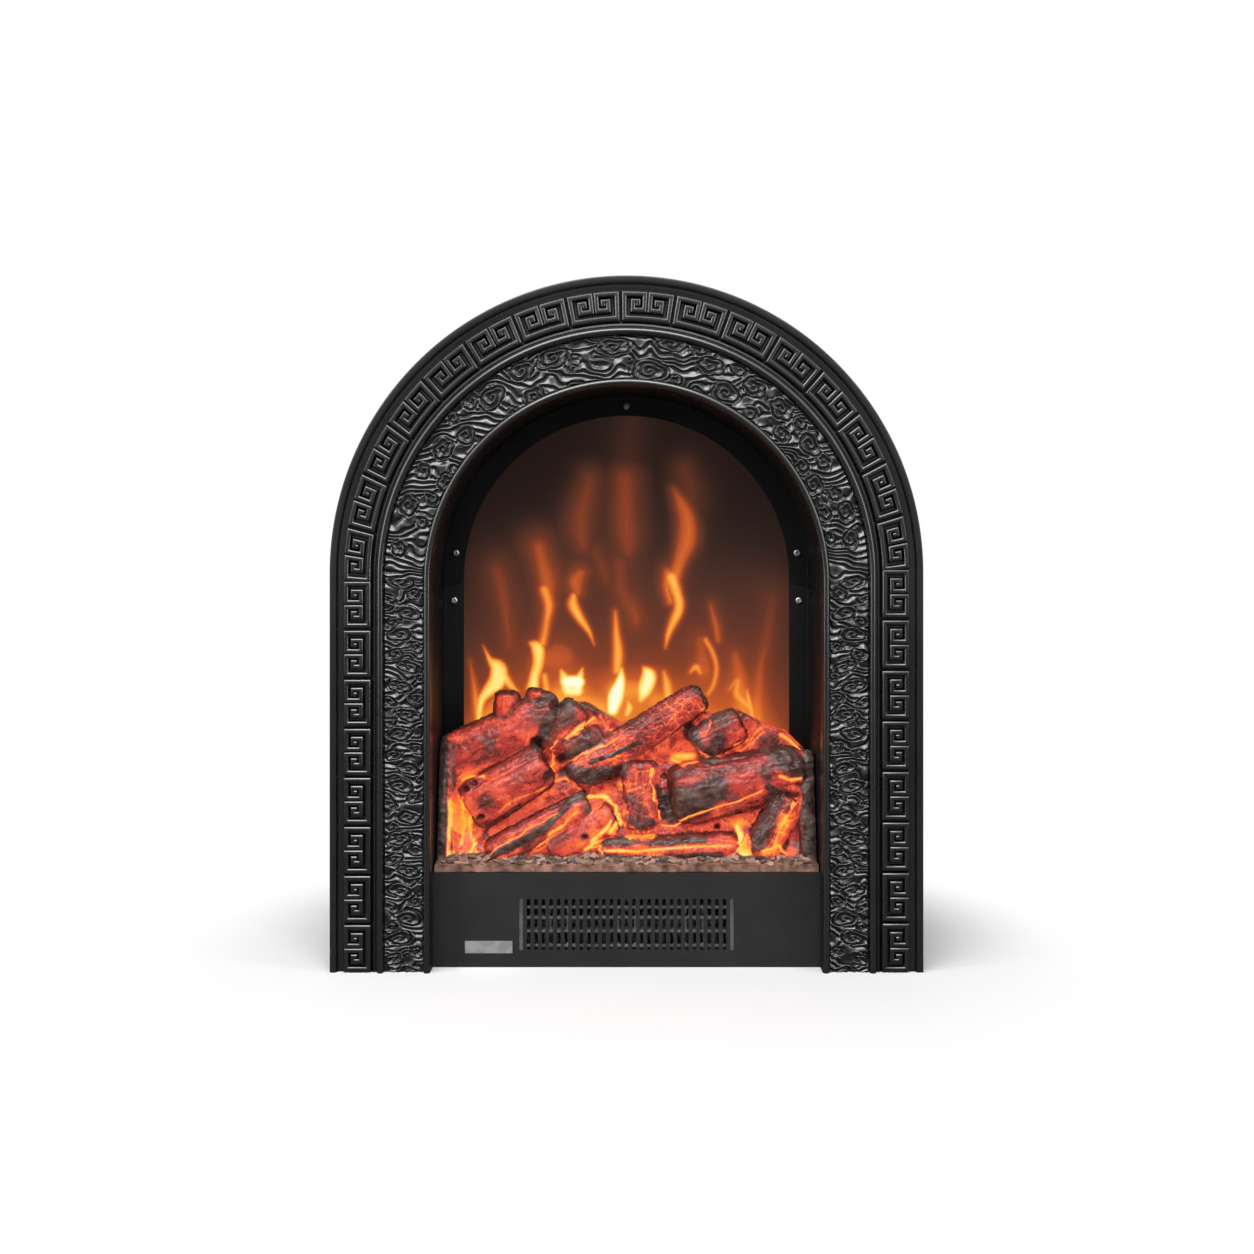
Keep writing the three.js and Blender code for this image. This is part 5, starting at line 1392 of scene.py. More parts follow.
# %% Push the skin in and out
# Each share is in millimetres
big_push, worn_push, ridge_push, worm_push, pit_push = 2.8, 1.8, 1.3, 0.8, 1.1
cell_push, crack_depth = 0.9, 1.7
hot_groove, char_ridge, knot_depth, knot_rim = 1.3, 1.1, 2.4, 1.2
ash_push = 2.0
hole_depth_mm = 14
margin = 0.05 * mm
push = (big_push * (big - 0.5) + worn_push * (worn - 0.5) + ridge_push * (ridges - 0.5)
        + worm_push * (worms - 0.5) + pit_push * (pitted - 0.5))
push += brick * (cell_push * (brick_value - 0.3) - crack_depth * crack)
push += -hot_groove * hot_line + char_ridge * char_line - knot_depth * knot_dent + knot_rim * knot_ring
push = push * (1 - ash_level) + ash_level * ash_push * (lumps(skin, 4 * mm) - 0.5)
shaped = skin + normals * (push * mm)[:, None]
shaped[:, 1] += in_hole * hole_depth_mm * mm
shaped = np.clip(shaped, np.array(log_low) + margin, np.array(log_high) - margin)
set_places(log_skin, shaped)
print("pushed by", round(float(push.min()), 1), "to", round(float(push.max()), 1), "mm")

# %% Char
# How charred and how much warmer each log is, in the order of the rows of logs
rod_char_shares = [
    0.05, 0.1, 0.1, 0.1, 0.3, 0.0, 0.4, 0.5, 0.15, 0.45, 0.3, 0.2, 0.35, 0.4, 0.8, 0.3, 1.2, 1.2]
warmer_shares = [0.07, 0.03, 0.03, 0.02, 0, 0, 0, 0, 0.01, 0, -0.05, 0, -0.03, 0, 0, 0, 0, 0]
rod_char = np.array(rod_char_shares)[own]
char_and_shade = np.clip(2.1 * (lumps(body, (19 * mm, 14 * mm, 30 * mm), 11.9) - 0.66) + 0.75 * rod_char, 0, 1)
char_and_shade = np.where(on_rod, char_and_shade, 0.1)
char_and_shade = np.clip(np.maximum(char_and_shade, char_line), 0, 1)

# %% Heat of the logs
# It rises from the top of the heap to its foot, and falls where a log is charred. Where a log is
# turned away from the front its glow is dimmed as painted shade, which darkens its outline
heap_top_px, heap_run_px = 690, 170
mean_heat, level_heat, patch_heat, wear_heat, ridge_heat = 0.462, 0.07, 0.32, 0.13, 0.08
char_cooling = 0.34
# Painted shade in the seams between logs: how wide it is, how much it dims the glow and how much char
# colour it lays on
seam_width, seam_shade_dimming, seam_shade_as_char = 1.5 * mm, 0.65, 0.75
level = np.clip((pixels[:, 1] - heap_top_px) / heap_run_px, 0, 1)
patch = lumps(body, (19 * mm, 15 * mm, 40 * mm), 7.7)
heat = (mean_heat + level_heat * level + patch_heat * (patch - 0.5) + wear_heat * (worn - 0.5)
        + ridge_heat * (ridges - 0.5) - char_cooling * char_and_shade)
heat += np.array(warmer_shares)[own]
# Painted shade: the glow is dimmed where the skin turns away from the front
heat *= 0.25 + 0.75 * np.clip(-1.2 * normals[:, 1], 0, 1)
# Painted shade: high in the heap the seams between logs are dimmed and take the char colour
seam_shade = np.exp(-np.clip(next_gap, 0, None) / seam_width) * np.clip(1.1 - 1.7 * level, 0, 1)
heat *= 1 - seam_shade_dimming * seam_shade
char_and_shade = np.maximum(char_and_shade, seam_shade_as_char * seam_shade)

# %% Glow between the logs
crevice_width, crevice_depth = 3.2 * mm, 9 * mm
heap_start, heap_blend = 2.5 * mm, 5 * mm
heap_mean, heap_level, heap_mottle = 0.47, 0.14, 0.34
crevice = (np.exp(-np.clip(next_gap, 0, None) / crevice_width)
           * np.exp(-np.clip(own_gap, 0, None) / crevice_depth))
heap_glow = np.clip((own_gap - heap_start) / heap_blend, 0, 1)
heat = np.maximum(heat, crevice * (0.1 + 0.78 * level))
mottle = lumps(skin, (7 * mm, 20 * mm, 6 * mm), 2.9) - 0.5
heap_heat = heap_mean + heap_level * level + heap_mottle * mottle
heat = np.where(heap_glow > 0, heat * (1 - heap_glow) + heap_heat * heap_glow, heat)

# %% Cracks, strokes, knots and the hole
crack_heat, halo_heat, line_heat = 0.26, 0.15, 0.95
char_shade, knot_shade = 0.75, 0.9
lit_blend_px, ash_shade = 3.5, 0.93
heat += crack_heat * brick * crack
heat = heat * np.clip(1 - char_shade * char_line, 0, 1) * (1 - knot_shade * knot_dent)
heat = np.maximum(heat + halo_heat * hot_halo, line_heat * hot_line)
# Painted shade: the glow in the hole is darker at its top, under its rim, and brighter at its bottom
hole_heat = 0.6 + 0.36 * np.clip((hole_low - 0.1) / 0.35, 0, 1)
heat = heat * (1 - in_hole) + in_hole * hole_heat
# Painted shade: beyond these columns the logs lose their glow and take the char colour
lit = (np.clip((pixels[:, 0] - lit_left_px) / lit_blend_px, 0, 1)
       * np.clip((lit_right_px - pixels[:, 0]) / lit_blend_px, 0, 1))
heat *= lit * (1 - ash_shade * ash_level)
char_and_shade = 1 - (1 - char_and_shade) * lit


# %% Keep them on the skin
def keep_on(piece, name, values):
    """Keeps one value for each vertex as an attribute of the piece's mesh."""
    made = piece.data.attributes.new(name, "FLOAT", "POINT")
    made.data.foreach_set("value", np.ascontiguousarray(values, np.float32))


# The char level kept here holds real char together with painted shade of the seams and the sides
for name, values in (("ember_level", heat), ("char_and_shade_level", char_and_shade), ("ash_level", ash_level)):
    keep_on(log_skin, name, values)
made = log_skin.data.attributes.new("bark", "FLOAT_VECTOR", "POINT")
made.data.foreach_set("vector", np.ascontiguousarray(body, np.float32).ravel())
print("heat from", round(float(heat.min()), 2), "to", round(float(heat.max()), 2))

# %% [markdown]
# ## Ember paint
# The shell glows by itself where it is thin or unpainted and is black where it is painted. The
# heat runs through dark red, coral, orange and yellow. Fine wormy lines shine through the paint,
# small specks of char lie on it, and the charred parts are grey-brown with a dull sheen. The same
# grey-brown is laid as painted shade in the upper seams between logs and beside the lit part.

# %% Log material
log_paint, _, _ = new_material("ember_paint")
tree = log_paint.node_tree
shader = tree.nodes["Principled BSDF"]


def attribute(tree, name, socket="Fac"):
    return add_node(tree, "ShaderNodeAttribute", attribute_name=name).outputs[socket]


def veins(tree, noise, height, width):
    """Thin lines where a noise passes through its middle value."""
    from_middle = worked(tree, "ABSOLUTE", worked(tree, "SUBTRACT", noise, 0.5))
    return varied(tree, from_middle, height, 0.0, 0.0, width)


here = add_node(tree, "ShaderNodeTexCoord").outputs["Object"]
heat_value = attribute(tree, "ember_level")
char_and_shade_value = attribute(tree, "char_and_shade_level")

# %% Wormy lines and specks
worm_noise = add_node(tree, "ShaderNodeTexNoise", {
    "Vector": here, "Scale": 120.0, "Detail": 1.5, "Distortion": 1.4})
worm_patch = add_node(tree, "ShaderNodeTexNoise", {"Vector": here, "Scale": 38.0, "Detail": 1.0})
worm_line = worked(tree, "MULTIPLY", veins(tree, worm_noise.outputs["Fac"], 1.0, 0.03),
                   varied(tree, worm_patch.outputs["Fac"], 0.0, 1.0, 0.5, 0.62))
open_paint = varied(tree, char_and_shade_value, 1.0, 0.1, 0.2, 0.9)
lines_on = worked(tree, "MULTIPLY", worked(tree, "MULTIPLY", worm_line, open_paint),
                  varied(tree, heat_value, 0.0, 0.2, 0.15, 0.5))
speck_noise = add_node(tree, "ShaderNodeTexNoise", {"Vector": here, "Scale": 240.0, "Detail": 2.0})
specks = varied(tree, speck_noise.outputs["Fac"], 0.0, 1.0, 0.57, 0.68)
specked = worked(tree, "MULTIPLY", specks, varied(tree, heat_value, 0.12, 0.04, 0.55, 0.85))

# %% Wrinkles along the bark
grain_way = add_node(tree, "ShaderNodeMapping", {
    "Vector": attribute(tree, "bark", "Vector"), "Scale": (0.55, 1.0, 1.0)}).outputs[0]
wrinkle_noise = add_node(tree, "ShaderNodeTexNoise", {
    "Vector": grain_way, "Scale": 110.0, "Detail": 2.0, "Distortion": 1.2})
wrinkles = veins(tree, wrinkle_noise.outputs["Fac"], 0.15, 0.025)
mottled = varied(tree, wrinkle_noise.outputs["Fac"], -0.045, 0.045, 0.3, 0.7)
below_glow = varied(tree, heat_value, 1.0, 0.15, 0.6, 0.85)
marks = worked(tree, "MULTIPLY", worked(tree, "SUBTRACT", mottled, wrinkles), below_glow)
marked_heat = worked(tree, "ADD", worked(tree, "ADD", heat_value, marks), lines_on)
total_heat = worked(tree, "SUBTRACT", marked_heat, specked, clamp=True)


# %% The colours of heat
def ramped(tree, value, stops):
    """The colour at a value, on a ramp of (place, colour) stops."""
    ramp = add_node(tree, "ShaderNodeValToRGB", {"Fac": value})
    for position, colour in stops[1:-1]:
        ramp.color_ramp.elements.new(position)
    for element, (position, colour) in zip(ramp.color_ramp.elements, stops):
        element.position, element.color = position, (*colour, 1.0)
    return ramp.outputs["Color"]


heat_stops = [
    (0.0, (0.0, 0.0, 0.0)), (0.2, (0.026, 0.005, 0.004)), (0.35, (0.156, 0.017, 0.013)),
    (0.5, (0.515, 0.045, 0.032)), (0.62, (0.83, 0.102, 0.045)), (0.74, (1.0, 0.223, 0.032)),
    (0.86, (1.0, 0.45, 0.042)), (1.0, (1.0, 0.74, 0.16)),
]
tree.links.new(ramped(tree, total_heat, heat_stops), shader.inputs["Emission Color"])
shader.inputs["Emission Strength"].default_value = 1.0

# %% Painted bark and ash
bark_noise = add_node(tree, "ShaderNodeTexNoise", {"Vector": here, "Scale": 90.0, "Detail": 5.0})
bark_shade = varied(tree, bark_noise.outputs["Fac"], 0.0, 1.0, 0.35, 0.7)
bark_colour = blended(tree, bark_shade, (0.03, 0.017, 0.014), (0.13, 0.084, 0.068))
paint_colour = blended(tree, char_and_shade_value, (0.05, 0.008, 0.006), bark_colour)
ash_colour = blended(tree, bark_shade, (0.08, 0.042, 0.03), (0.38, 0.2, 0.145))
skin_colour = blended(tree, attribute(tree, "ash_level"), paint_colour, ash_colour)
tree.links.new(skin_colour, shader.inputs["Base Color"])
tree.links.new(varied(tree, bark_noise.outputs["Fac"], 0.26, 0.5), shader.inputs["Roughness"])
bark_height = worked(tree, "SUBTRACT", worked(tree, "ADD", speck_noise.outputs["Fac"], worm_line), wrinkles)
bark_bump = add_node(tree, "ShaderNodeBump", {
    "Height": bark_height, "Strength": 0.9, "Distance": 0.5 * mm})
tree.links.new(bark_bump.outputs["Normal"], shader.inputs["Normal"])
shader.inputs["Specular IOR Level"].default_value = 0.32
print("ember paint:", len(tree.nodes), "nodes")

# %% Split the skin and hand it over
halves = []
for name, side in (("logs_left", -1), ("logs_right", 1)):
    half = copy_of(log_skin, name)
    half.data.name = name
    work_on(half)
    edit()
    bpy.ops.mesh.select_all(action="SELECT")
    bpy.ops.mesh.bisect(plane_co=(0, 0, 0), plane_no=(1, 0, 0), use_fill=True,
                        clear_inner=side > 0, clear_outer=side < 0)
    leave()
    face_out(half)
    work_on(half)
    bpy.ops.object.shade_smooth()
    halves.append(painted(half, log_paint))
bpy.data.objects.remove(log_skin)
hand_over(halves[0], "casing", "logs", "log_set")
hand_over(halves[1], "casing", "logs")

# %% [markdown]
# ## Ash chips
# Loose looking chips of ash lie along the front of the bed. They are small cubes drawn out into
# flakes, bevelled, and strewn by a seeded draw, each tilted its own way and half sunk in the bed.

# %% Ash chips
chip_count, chip_seed = 330, 21
# In millimetres: length, width and thickness, how far behind the front, and how far it sinks or rises
chip_sizes = [(4, 14), (2.2, 5.4), (0.8, 2.2)]
chip_backs, chip_rises = (2.0, 24.0), (-1.2, 1.8)
chip_inset, bed_top, bed_slope = 8 * mm, 6.5 * mm, 0.2
draw = np.random.default_rng(chip_seed)
chips = []
shades = []
for number in range(chip_count):
    deselect()
    bpy.ops.mesh.primitive_cube_add(size=1)
    chip = started("chip")
    size = np.array([draw.uniform(*limits) for limits in chip_sizes]) * mm
    turn_y, turn_x, turn_z = draw.uniform(-0.5, 0.5), draw.uniform(0.2, 1.2), draw.uniform(-0.7, 0.7)
    turned = (Matrix.Rotation(turn_z, 3, "Z") @ Matrix.Rotation(turn_y, 3, "Y")
              @ Matrix.Rotation(turn_x, 3, "X"))
    back = draw.uniform(*chip_backs) * mm
    where = np.array([
        draw.uniform(log_low.x + chip_inset, log_high.x - chip_inset), log_low.y + back + 2 * mm,
        log_low.z + bed_top + bed_slope * back + draw.uniform(*chip_rises) * mm])
    corners = places(chip)
    corners[:, 1] *= 1 + 0.5 * corners[:, 0]
    chip_points = (corners * size) @ np.array(turned).T + where
    set_places(chip, np.clip(chip_points, np.array(log_low) + margin, np.array(log_high) - margin))
    chips.append(chip)
    shades += [draw.uniform(0, 1) ** 1.4] * len(chip_points)
ash_chips = joined(chips, "ash_chips")
keep_on(ash_chips, "chip_shade", shades)
face_out(ash_chips)
chip_edge = 0.3 * mm
bevelled(ash_chips, chip_edge, segments=1, angle=30)

# %% Ash finish
ash_finish, _, _ = new_material("ash_flakes")
tree = ash_finish.node_tree
shader = tree.nodes["Principled BSDF"]
flake_grain = add_node(tree, "ShaderNodeTexNoise", {
    "Vector": add_node(tree, "ShaderNodeTexCoord").outputs["Object"], "Scale": 420.0, "Detail": 3.0})
flake_shade = worked(tree, "ADD", attribute(tree, "chip_shade"), varied(
    tree, flake_grain.outputs["Fac"], -0.2, 0.2), clamp=True)
flake_colour = blended(tree, flake_shade, (0.04, 0.022, 0.016), (0.42, 0.235, 0.17))
tree.links.new(flake_colour, shader.inputs["Base Color"])
tree.links.new(varied(tree, flake_grain.outputs["Fac"], 0.6, 0.8), shader.inputs["Roughness"])
flake_bump = add_node(tree, "ShaderNodeBump", {
    "Height": flake_grain.outputs["Fac"], "Strength": 0.6, "Distance": 0.3 * mm})
tree.links.new(flake_bump.outputs["Normal"], shader.inputs["Normal"])
hand_over(smooth(painted(ash_chips, ash_finish), 35), "casing", "logs")

# %% [markdown]
# ## The flame screen
# Behind the logs stands a smoked sheet on which moving light throws flames. It is a slab whose
# front is divided finely, so that each point can carry its own brightness. The flames were read
# off the photograph as strokes: a line of places, each with a half width, and a brightness. They
# are crisp low down, where the light passes close to the sheet, and soft further up.

# %% Screen slab
screen_low, screen_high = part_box("flame_screen")
screen_radius = (screen_high.x - screen_low.x) / 2
screen_spring = screen_high.z - screen_radius
screen_grain = 1.4 * mm
columns = round((screen_high.x - screen_low.x) / screen_grain)
rows = round((screen_high.z - screen_low.z) / screen_grain)
deselect()
bpy.ops.mesh.primitive_grid_add(x_subdivisions=columns, y_subdivisions=rows, size=1)
flame_sheet = started("flame_sheet")
flat = places(flame_sheet)
across = flat[:, 0] * 2
z = screen_low.z + (flat[:, 1] + 0.5) * (screen_high.z - screen_low.z)
half_width = np.sqrt(np.clip(screen_radius ** 2 - np.clip(z - screen_spring, 0, None) ** 2, 0, None))
set_places(flame_sheet, np.stack([across * half_width, np.full(len(flat), screen_low.y), z], axis=-1))
edit()
bpy.ops.mesh.select_mode(type="EDGE")
bpy.ops.mesh.select_all(action="SELECT")
bpy.ops.mesh.remove_doubles(threshold=merge_gap)
bpy.ops.mesh.select_all(action="DESELECT")
bpy.ops.mesh.select_non_manifold()
pull(y=screen_high.y - screen_low.y)
bpy.ops.mesh.edge_face_add()
leave()
face_out(flame_sheet)
sheet_points = places(flame_sheet)
print("screen:", len(sheet_points), "points")

# %% [markdown]
# Each flame is a list of (across, down, half width) in pixels of the photograph, with its
# brightness and the softness of its edge. The strokes overlap and the brightest one wins, while
# the halo round each of them is added to a glow that rises from the embers.

# %% Flames
flames = [
    ([(484, 646, 0.6), (491, 660, 3.5), (499, 668, 8), (498, 680, 9), (489, 690, 6), (481, 702, 4),
      (479, 725, 3.5)], 0.95, 1.6), ([(504, 676, 5), (512, 686, 3), (519, 692, 1)], 0.9, 1.6),
    ([(497, 672, 3), (500, 680, 4)], 1.05, 2.5), ([(471, 660, 1), (475, 685, 2.5), (479, 725, 4)], 0.66, 3),
    ([(531, 643, 1.5), (538, 648, 6.5), (539, 662, 6), (535, 676, 5.5), (533, 688, 6)], 0.93, 1.8),
    ([(543, 643, 4), (547, 622, 4), (550, 606, 4.5), (546, 590, 5)], 0.72, 3),
    ([(547, 612, 3.5), (549, 590, 6.5), (545, 570, 8), (538, 548, 7)], 0.5, 5),
    ([(545, 676, 3), (548, 690, 3)], 0.8, 2.5), ([(562, 670, 1), (565, 679, 4.5), (567, 688, 6)], 1.1, 1.5),
    ([(583, 669, 1), (580, 678, 4.5), (578, 688, 6)], 1.1, 1.5),
    ([(567, 682, 6.5), (579, 682, 6.5)], 1.35, 1.5), ([(568, 691, 6), (578, 691, 6)], 1.05, 2.5),
    ([(573, 596, 2), (573, 606, 4.5), (580, 619, 4), (589, 632, 2.5), (595, 645, 0.6)], 0.8, 1.6),
    ([(577, 592, 4), (575, 582, 7), (579, 574, 5)], 0.52, 4.5),
    ([(582, 545, 3), (580, 528, 6.5), (584, 505, 7), (590, 480, 4)], 0.4, 5),
    ([(622, 669, 1.5), (621, 682, 5.5), (617, 696, 8), (613, 710, 5.5)], 1.3, 1.8),
    ([(617, 670, 5), (618, 652, 6.5), (616, 632, 4.5), (616, 612, 1.5)], 0.72, 2.8),
    ([(629, 702, 1), (630, 708, 3), (627, 714, 2)], 0.98, 1.6),
    ([(644, 668, 1.5), (649, 676, 7.5), (645, 688, 7), (641, 700, 2)], 1.08, 1.8),
    ([(655, 672, 0.8), (651, 680, 3)], 1.0, 1.4),
    ([(664, 672, 1.5), (668, 686, 4), (669, 700, 4), (666, 713, 2)], 0.72, 2.2),
    ([(674, 490, 0), (681, 504, 4), (687, 520, 7), (687, 540, 8), (680, 562, 6), (674, 582, 6)], 0.5, 2.2),
    ([(672, 578, 5), (676, 592, 5), (679, 606, 5.5), (674, 622, 4.5), (669, 636, 3),
      (666, 648, 1)], 0.78, 2.0), ([(668, 572, 2), (667, 588, 3), (670, 602, 3)], 0.62, 3),
    ([(684, 470, 3), (689, 486, 5), (690, 498, 4)], 0.3, 6),
    ([(691, 672, 1.5), (697, 667, 3.5), (701, 673, 2)], 0.74, 2),
    ([(705, 640, 3), (712, 652, 3), (716, 668, 2.5), (713, 684, 2), (708, 694, 1)], 0.72, 2),
    ([(712, 606, 2), (716, 625, 3.5), (718, 640, 3)], 0.5, 3.5),
    ([(729, 690, 1), (738, 680, 4), (738, 694, 5), (748, 706, 4)], 0.58, 3.5),
    ([(747, 690, 1), (749, 702, 2.2), (752, 718, 2)], 0.8, 1.8),
    ([(772, 600, 5), (766, 640, 7), (758, 690, 6), (757, 720, 8)], 0.3, 8),
    ([(626, 480, 8), (626, 512, 9), (627, 540, 6), (628, 552, 2)], 0.42, 4.5),
    ([(630, 420, 8), (628, 450, 8), (626, 480, 9)], 0.15, 10),
    ([(620, 565, 5), (622, 588, 6), (634, 612, 7), (636, 622, 5)], 0.36, 7),
    ([(596, 552, 4), (602, 568, 5), (606, 580, 3)], 0.3, 6),
    ([(498, 572, 6), (503, 595, 7), (508, 625, 4), (510, 645, 2)], 0.38, 6),
    ([(735, 655, 6), (740, 680, 8), (744, 715, 8)], 0.34, 8), ([(700, 640, 8), (704, 670, 8)], 0.3, 9),
    ([(655, 700, 10), (690, 712, 12)], 0.36, 12), ([(560, 700, 14), (600, 708, 10)], 0.5, 12),
    ([(486, 720, 10), (500, 700, 8)], 0.45, 10), ([(618, 690, 12), (640, 690, 10)], 0.46, 12),
    ([(560, 655, 14), (540, 660, 10)], 0.34, 14),
]
print("flames:", len(flames))


# %% Distance from a stroke
def rounded(corners, steps=5):
    """The same stroke with a smooth curve through its places."""
    corners = np.array(corners, float)
    around = np.concatenate([2 * corners[:1] - corners[1:2], corners, 2 * corners[-1:] - corners[-2:-1]])
    line = [corners[0]]
    for before, start, end, after in zip(around, around[1:], around[2:], around[3:]):
        for step in range(1, steps + 1):
            t = step / steps
            line.append(0.5 * (2 * start + (end - before) * t
                               + (2 * before - 5 * start + 4 * end - after) * t ** 2
                               + (3 * start - before - 3 * end + after) * t ** 3))
    return np.array(line)


def stroke_field(pixels, corners):
    """Distance outside the edge of a stroke whose half width changes along it."""
    corners = rounded(corners)
    nearest = np.full(len(pixels), 1e9)
    for start, end in zip(corners[:-1], corners[1:]):
        run = end[:2] - start[:2]
        share = np.clip((pixels - start[:2]) @ run / (run @ run), 0, 1)
        width = start[2] + (end[2] - start[2]) * share
        nearest = np.minimum(nearest, np.hypot(*(pixels - start[:2] - share[:, None] * run).T) - width)
    return nearest


# %% Glow behind the flames
waver_px = 3.0
glow_top_px, glow_run_px, glow_rise, glow_level = 470, 260, 1.9, 0.6
haze_top_px, haze_run_px, haze_level = 420, 150, 0.03
side_middle_px, side_reach_px, side_share = 626, 175, 0.55
least_glow = 0.012
screen_pixels = to_photo(sheet_points)
down = screen_pixels[:, 1]
waver = lumps(sheet_points, (14 * mm, 14 * mm, 34 * mm), 2.2) - 0.5
shifted = screen_pixels + np.stack([waver_px * waver, np.zeros(len(waver))], axis=-1)
base_glow = glow_level * np.clip((down - glow_top_px) / glow_run_px, 0, 1) ** glow_rise
side_fade = np.clip(1 - (np.abs(screen_pixels[:, 0] - side_middle_px) / side_reach_px) ** 4, 0, 1)
haze = haze_level * side_fade * np.clip((down - haze_top_px) / haze_run_px, 0, 1)
glow = least_glow + base_glow * (side_share + (1 - side_share) * side_fade) + haze

# %% Throw the flames on the screen
flame_share = 0.82
edge_share, high_edge_share = 0.66, 0.24
high_start_px, high_run_px = 650, 120
high_brightness, high_widening_px = 0.3, 4
core_px = 4
edge_px, high_edge_px = 0.55, 1.25
halo_share, high_halo_share = 0.11, 0.07
halo_px, soft_halo_px = 4.0, 1.5
crisp = np.zeros(len(glow))
flame_wavers = 0.8 + 0.8 * lumps(sheet_points, (9 * mm, 9 * mm, 22 * mm), 4.4)
high_up = np.clip((high_start_px - down) / high_run_px, 0, 1)
rim_level = edge_share + high_edge_share * high_up
for corners, brightness, softness in flames:
    brightness = brightness * flame_share * (1 + high_brightness * high_up)
    gap = stroke_field(shifted, corners) - high_widening_px * high_up
    core = rim_level + (1 - rim_level) * np.clip(-gap / (core_px * flame_wavers), 0, 1)
    edge = (edge_px + high_edge_px * high_up) * softness
    flame = brightness * core / (1 + np.exp(np.clip(gap / edge, -30, 30)))
    fall = np.exp(-np.clip(gap, 0, None) / (halo_px + soft_halo_px * softness))
    halo = (halo_share + high_halo_share * high_up) * brightness * fall
    crisp = np.maximum(crisp, flame)
    glow += 0.5 * halo * (1 - glow)
flame_value = crisp + glow * np.clip(1 - crisp, 0, 1)
keep_on(flame_sheet, "flame_level", flame_value)
print("flame levels from", round(float(flame_value.min()), 2), "to", round(float(flame_value.max()), 2))

# %% Screen material
flame_light, _, _ = new_material("flame_light")
tree = flame_light.node_tree
shader = tree.nodes["Principled BSDF"]
here = add_node(tree, "ShaderNodeTexCoord").outputs["Object"]
weave = add_node(tree, "ShaderNodeTexNoise", {"Vector": here, "Scale": 420.0, "Detail": 2.0})
shimmer = varied(tree, weave.outputs["Fac"], -0.006, 0.006)
flame_total = worked(tree, "ADD", attribute(tree, "flame_level"), shimmer)
flame_stops = [
    (0.0, (0.010, 0.005, 0.004)), (0.08, (0.024, 0.011, 0.008)), (0.18, (0.067, 0.022, 0.0135)),
    (0.30, (0.125, 0.031, 0.015)), (0.42, (0.24, 0.045, 0.015)), (0.54, (0.55, 0.095, 0.018)),
    (0.66, (0.91, 0.246, 0.028)), (0.76, (0.98, 0.45, 0.06)), (0.85, (1.0, 0.72, 0.15)),
    (0.93, (1.0, 0.92, 0.4)), (1.0, (1.0, 0.98, 0.72)),
]
tree.links.new(ramped(tree, flame_total, flame_stops), shader.inputs["Emission Color"])
shader.inputs["Emission Strength"].default_value = 1.0
shader.inputs["Base Color"].default_value = (0.01, 0.008, 0.007, 1.0)
tree.links.new(varied(tree, weave.outputs["Fac"], 0.5, 0.6), shader.inputs["Roughness"])
shader.inputs["Specular IOR Level"].default_value = 0.01
hand_over(smooth(painted(flame_sheet, flame_light), 40), "casing", "screen", "flame_screen")

# %% [markdown]
# ## The casing
# Behind the surround the firebox is wrapped in one rolled steel sheet, 1.2 mm thick, with a flange
# turned in at the front. It is the same arch again, so its section goes round the same way. At the
# foot the flange is cut away for the lower panel.

# %% Rolled casing
wrap_low, wrap_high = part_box("casing_wrap")
casing_sheet = 1.2 * mm
casing_radius = wrap_high.x
casing_spring = wrap_high.z - casing_radius
flange_inner = 199.5 * mm
wrap_bend, bend_middle = 1.6 * mm, 0.5 * mm
casing_edge = 0.3 * mm
casing_section = [
    (casing_radius, wrap_low.y + wrap_bend), (casing_radius, wrap_high.y),
    (casing_radius - casing_sheet, wrap_high.y), (casing_radius - casing_sheet, wrap_low.y + casing_sheet),
    (flange_inner, wrap_low.y + casing_sheet), (flange_inner, wrap_low.y),
    (casing_radius - wrap_bend, wrap_low.y), (casing_radius - bend_middle, wrap_low.y + bend_middle)]
casing_shell = round_the_arch("casing_shell", casing_section, casing_spring)

# %% Cut the flange for the panel
notch_reach, notch_top, notch_foot = 204.3 * mm, 96.6 * mm, -5 * mm
notch_before, notch_behind = 1 * mm, 3 * mm
notch = block("notch", (-notch_reach, wrap_low.y - notch_before, notch_foot),
              (notch_reach, wrap_low.y + notch_behind, notch_top))
cut_out(casing_shell, notch)
bevelled(casing_shell, casing_edge, segments=2, angle=50)
hand_over(painted(flat_shaded(casing_shell), matt_black), "casing", "casing_coat", "casing_wrap")

# %% [markdown]
# ## The back cover
# A flat sheet closes the back. It is drawn as the outline of the arch and given its thickness, and
# the vents, the hole of the cord gland and the window of the switch are punched through it. Its
# edges are slightly broken, as a punch and a file leave them.

# %% Cover, vents and holes
cover_low, cover_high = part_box("back_cover")
cover_spring = cover_high.z - cover_high.x
turns = [math.pi * step / arch_steps for step in range(arch_steps + 1)]
cover_outline = [(cover_low.x, cover_low.z), (cover_high.x, cover_low.z)] + [
    (cover_high.x * math.cos(turn), cover_spring + cover_high.x * math.sin(turn)) for turn in turns]
cover = outline_piece("vented_cover", [(x, cover_low.y, z) for x, z in cover_outline])
thickened(cover, y=cover_high.y - cover_low.y)
vent_feet = (24 * mm, 500 * mm)
vent_length, vent_width, vent_pitch, vent_rows = 62 * mm, 5 * mm, 12 * mm, 3
vent_sideways = 50 * mm
through_low, through_high = cover_low.y - punch_overrun, cover_high.y + punch_overrun
vents = []
for foot in vent_feet:
    for row in range(vent_rows):
        for side in (-1, 1):
            upright = round_ended(vent_width, -vent_length / 2, vent_length / 2)
            middle_z = foot + row * vent_pitch
            vent = outline_piece("vent", [(side * vent_sideways + z, through_low, middle_z + x)
                                          for x, z in upright])
            vents.append(thickened(vent, y=through_high - through_low))

